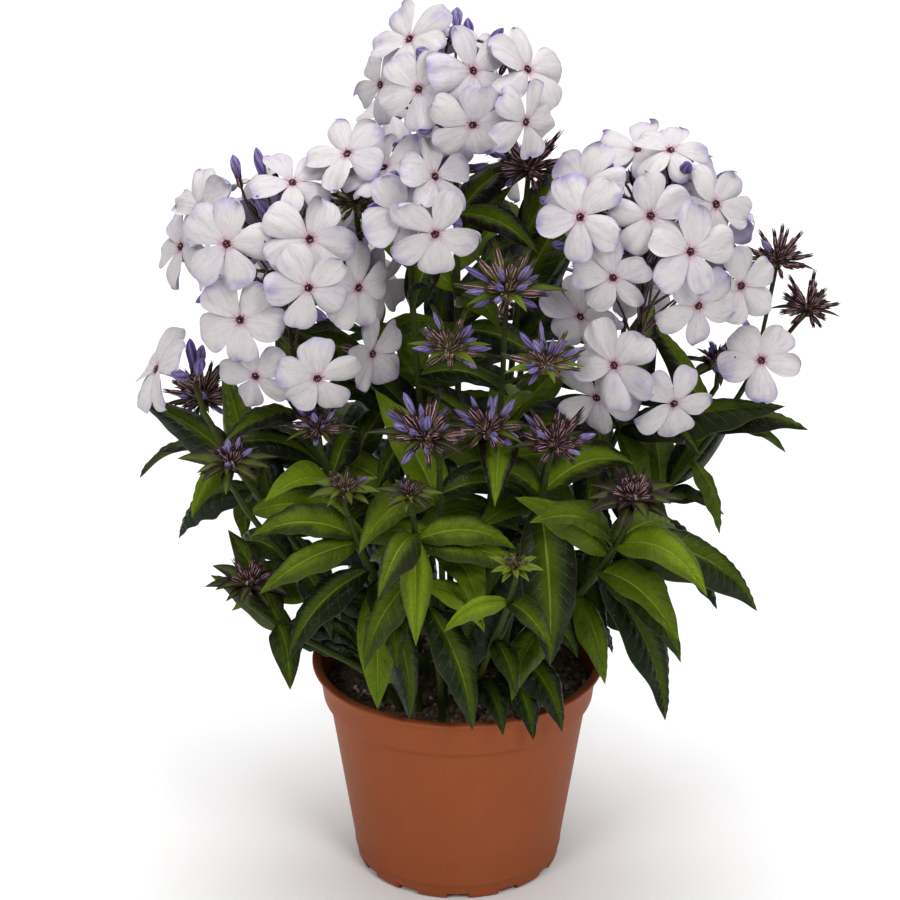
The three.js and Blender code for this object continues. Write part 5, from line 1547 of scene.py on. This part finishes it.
def violet_material():
    tree = Tree("furled_petal", Specular_IOR_Level=0.2, Sheen_Weight=0.08)
    share, round_, _ = tree.attribute("blade")
    chance, wind, _ = tree.attribute("tone")
    streak = tree.streaks(4.0, 4.0, 0.6, share * 1.4, round_ * 5.0 + chance, chance * 9.0)
    pale = tree.mix(tree.within(chance, 0.1, 0.9), (0.125, 0.085, 0.29), (0.29, 0.24, 0.5))
    colour = tree.mix(tree.within(streak, 0.36, 0.6), (0.07, 0.04, 0.17), pale)
    # Painted shade darkens the furls' grooves, where one petal lies over the next, and a painted highlight
    # lies on their crests.
    turn = round_ * (2.5 * math.pi) + share * wind * 2.5
    furl_shade_and_highlight = abs(tree.math("SINE", turn + 2.5 * math.pi))
    colour = tree.mix(tree.within(furl_shade_and_highlight, 0.5, 0.1) * 0.75, colour, (0.03, 0.014, 0.08))
    colour = tree.mix(tree.within(furl_shade_and_highlight, 0.86, 1.0) * 0.35, colour, (0.42, 0.38, 0.6))
    colour = tree.mix(tree.within(share, 0.75, 1.0) * 0.4, colour, (0.06, 0.035, 0.17))
    colour = tree.mix(tree.within(share, 0.35, 0.0) * 0.6, colour, (0.1, 0.02, 0.1))
    rough = tree.within(streak, 0.2, 0.8, 0.42, 0.62)
    return tree.finish(colour, rough, tree.bump(streak + tree.noise(1300.0, 2.0) * 0.3, 0.4, 0.0004))


def pot_material():
    tree = Tree("satin_terracotta_plastic", Specular_IOR_Level=0.08)
    share, round_, _ = tree.attribute("blade")
    cloud = tree.noise(14.0, 5.0, 0.6)
    grain = tree.noise(700.0, 3.0)
    flow = tree.streaks(3.0, 3.0, 0.5, round_ * 26.0, share * 2.0, 0.0)
    colour = tree.mix(tree.within(cloud, 0.3, 0.7), (0.26, 0.066, 0.021), (0.29, 0.077, 0.027))
    colour = tree.mix(tree.within(flow, 0.45, 0.75) * 0.12, colour, (0.2, 0.045, 0.013))
    dust = tree.within(tree.noise(60.0, 6.0, 0.7), 0.55, 0.78)
    colour = tree.mix(dust * 0.22, colour, (0.28, 0.1, 0.05))
    rough = tree.within(grain + cloud * 0.6, 0.4, 1.2, 0.42, 0.56)
    dents = tree.bump(tree.noise(90.0, 2.0), 0.12, 0.001)
    return tree.finish(colour, rough, tree.bump(grain, 0.18, 0.0003, Normal=dents))


def crumb_material(name, low, high, scale, relief):
    tree = Tree(name, Specular_IOR_Level=0.3)
    chance, _, _ = tree.attribute("tone")
    lump = tree.noise(scale, 6.0, 0.7)
    colour = tree.mix(tree.within(lump * 0.8 + chance * 0.35, 0.35, 0.95), low, high)
    rough = tree.within(lump, 0.2, 0.8, 0.75, 0.98)
    return tree.finish(colour, rough, tree.bump(lump + tree.cells(scale * 1.7) * 0.7, 0.8, relief))


LEAF_SKINS = [
    leaf_material("leaf_top", False), leaf_material("leaf_underside", True), stem_material("stem", 0.2),
]
HEAD_SKINS = [
    petal_material("petal", False), petal_material("petal_back", True),
    spotted_material("eye", 900.0, 0.35, 0.7, (0.018, 0.002, 0.004), (0.07, 0.006, 0.018), (0.4, 0.6),
                     0.0003, Specular_IOR_Level=0.4),
    spotted_material("anther", 1800.0, 0.3, 0.7, (0.42, 0.26, 0.1), (0.6, 0.5, 0.3), (0.6, 0.8),
                     0.0002, Specular_IOR_Level=0.3),
    calyx_material(), violet_material(), bract_material("bract_top", False),
    bract_material("bract_underside", True), stem_material("head_axis", 0.45), tooth_material(),
]
SOIL_SKINS = [
    crumb_material("peat", (0.06, 0.04, 0.027), (0.46, 0.33, 0.22), 380.0, 0.0012),
    crumb_material("peat_fibre", (0.13, 0.07, 0.03), (0.3, 0.18, 0.09), 500.0, 0.0003),
    crumb_material("perlite", (0.55, 0.52, 0.46), (0.8, 0.78, 0.72), 500.0, 0.0004),
    crumb_material("bark", (0.05, 0.026, 0.015), (0.24, 0.13, 0.07), 300.0, 0.0006),
]

pot_piece()
soil_piece()
for shoot in SHOOTS:
    green_shoot(shoot, plant[shoot["name"]])
    head(shoot, plant[shoot["name"]])

# ------------------------------------------------------------------------------------------------------------
# Floor, light and camera, in metres

FLOOR_REACH = 6
# The camera stands where the photo's perspective puts it, found from the ellipses of the pot's rim and foot.
CAMERA_PLACE = (-0.0036, -1.63135, 0.96092)
CAMERA_AIM = (-0.0036, 0, 0.2002)
SENSOR = 36
LENS = 165.4
WORLD_STRENGTH = 0.36


def stand(name, data, place, aim):
    """A light or camera at place that looks at aim."""
    made = bpy.data.objects.new(name, data)
    made.location = place
    made.rotation_euler = (Vector(aim) - Vector(place)).to_track_quat("-Z", "Y").to_euler()
    bpy.context.scene.collection.objects.link(made)
    return made


def area_light(name, place, aim, size, power):
    data = bpy.data.lights.new(name, "AREA")
    data.shape, data.size, data.energy = "DISK", size, power
    stand(name, data, place, aim)


def floor_piece():
    tree = Tree("pale_floor", Specular_IOR_Level=0.1, Roughness=0.9)
    tint = tree.mix(tree.noise(3.0, 2.0), (0.93, 0.93, 0.93), (0.95, 0.95, 0.95))
    tree.feed(tree.shader, {"Base Color": tint})
    mesh = bpy.data.meshes.new("floor")
    corners = [(x * FLOOR_REACH, y * FLOOR_REACH, 0) for x, y in ((-1, -1), (1, -1), (1, 1), (-1, 1))]
    mesh.from_pydata(corners, [], [(0, 1, 2, 3)])
    mesh.materials.append(tree.material)
    made = bpy.data.objects.new("floor", mesh)
    bpy.context.scene.collection.objects.link(made)


floor_piece()
area_light("key", (0.6, -1.4, 1.6), (0, 0, 0.2), 0.6, 13)
area_light("fill", (-0.9, -1.4, 1.3), (0, 0, 0.2), 0.7, 8)
area_light("top", (0, 0.35, 2.4), (0, 0.2, 0), 2.4, 56)

world = bpy.data.worlds.new("studio")
world.use_nodes = True
sky = world.node_tree.nodes["Background"]
sky.inputs["Color"].default_value = (1, 1, 1, 1)
sky.inputs["Strength"].default_value = WORLD_STRENGTH
bpy.context.scene.world = world

data = bpy.data.cameras.new("camera")
data.sensor_fit = "HORIZONTAL"
data.sensor_width = SENSOR
data.lens = LENS
bpy.context.scene.camera = stand("camera", data, CAMERA_PLACE, CAMERA_AIM)
bpy.context.scene.view_settings.view_transform = "Standard"
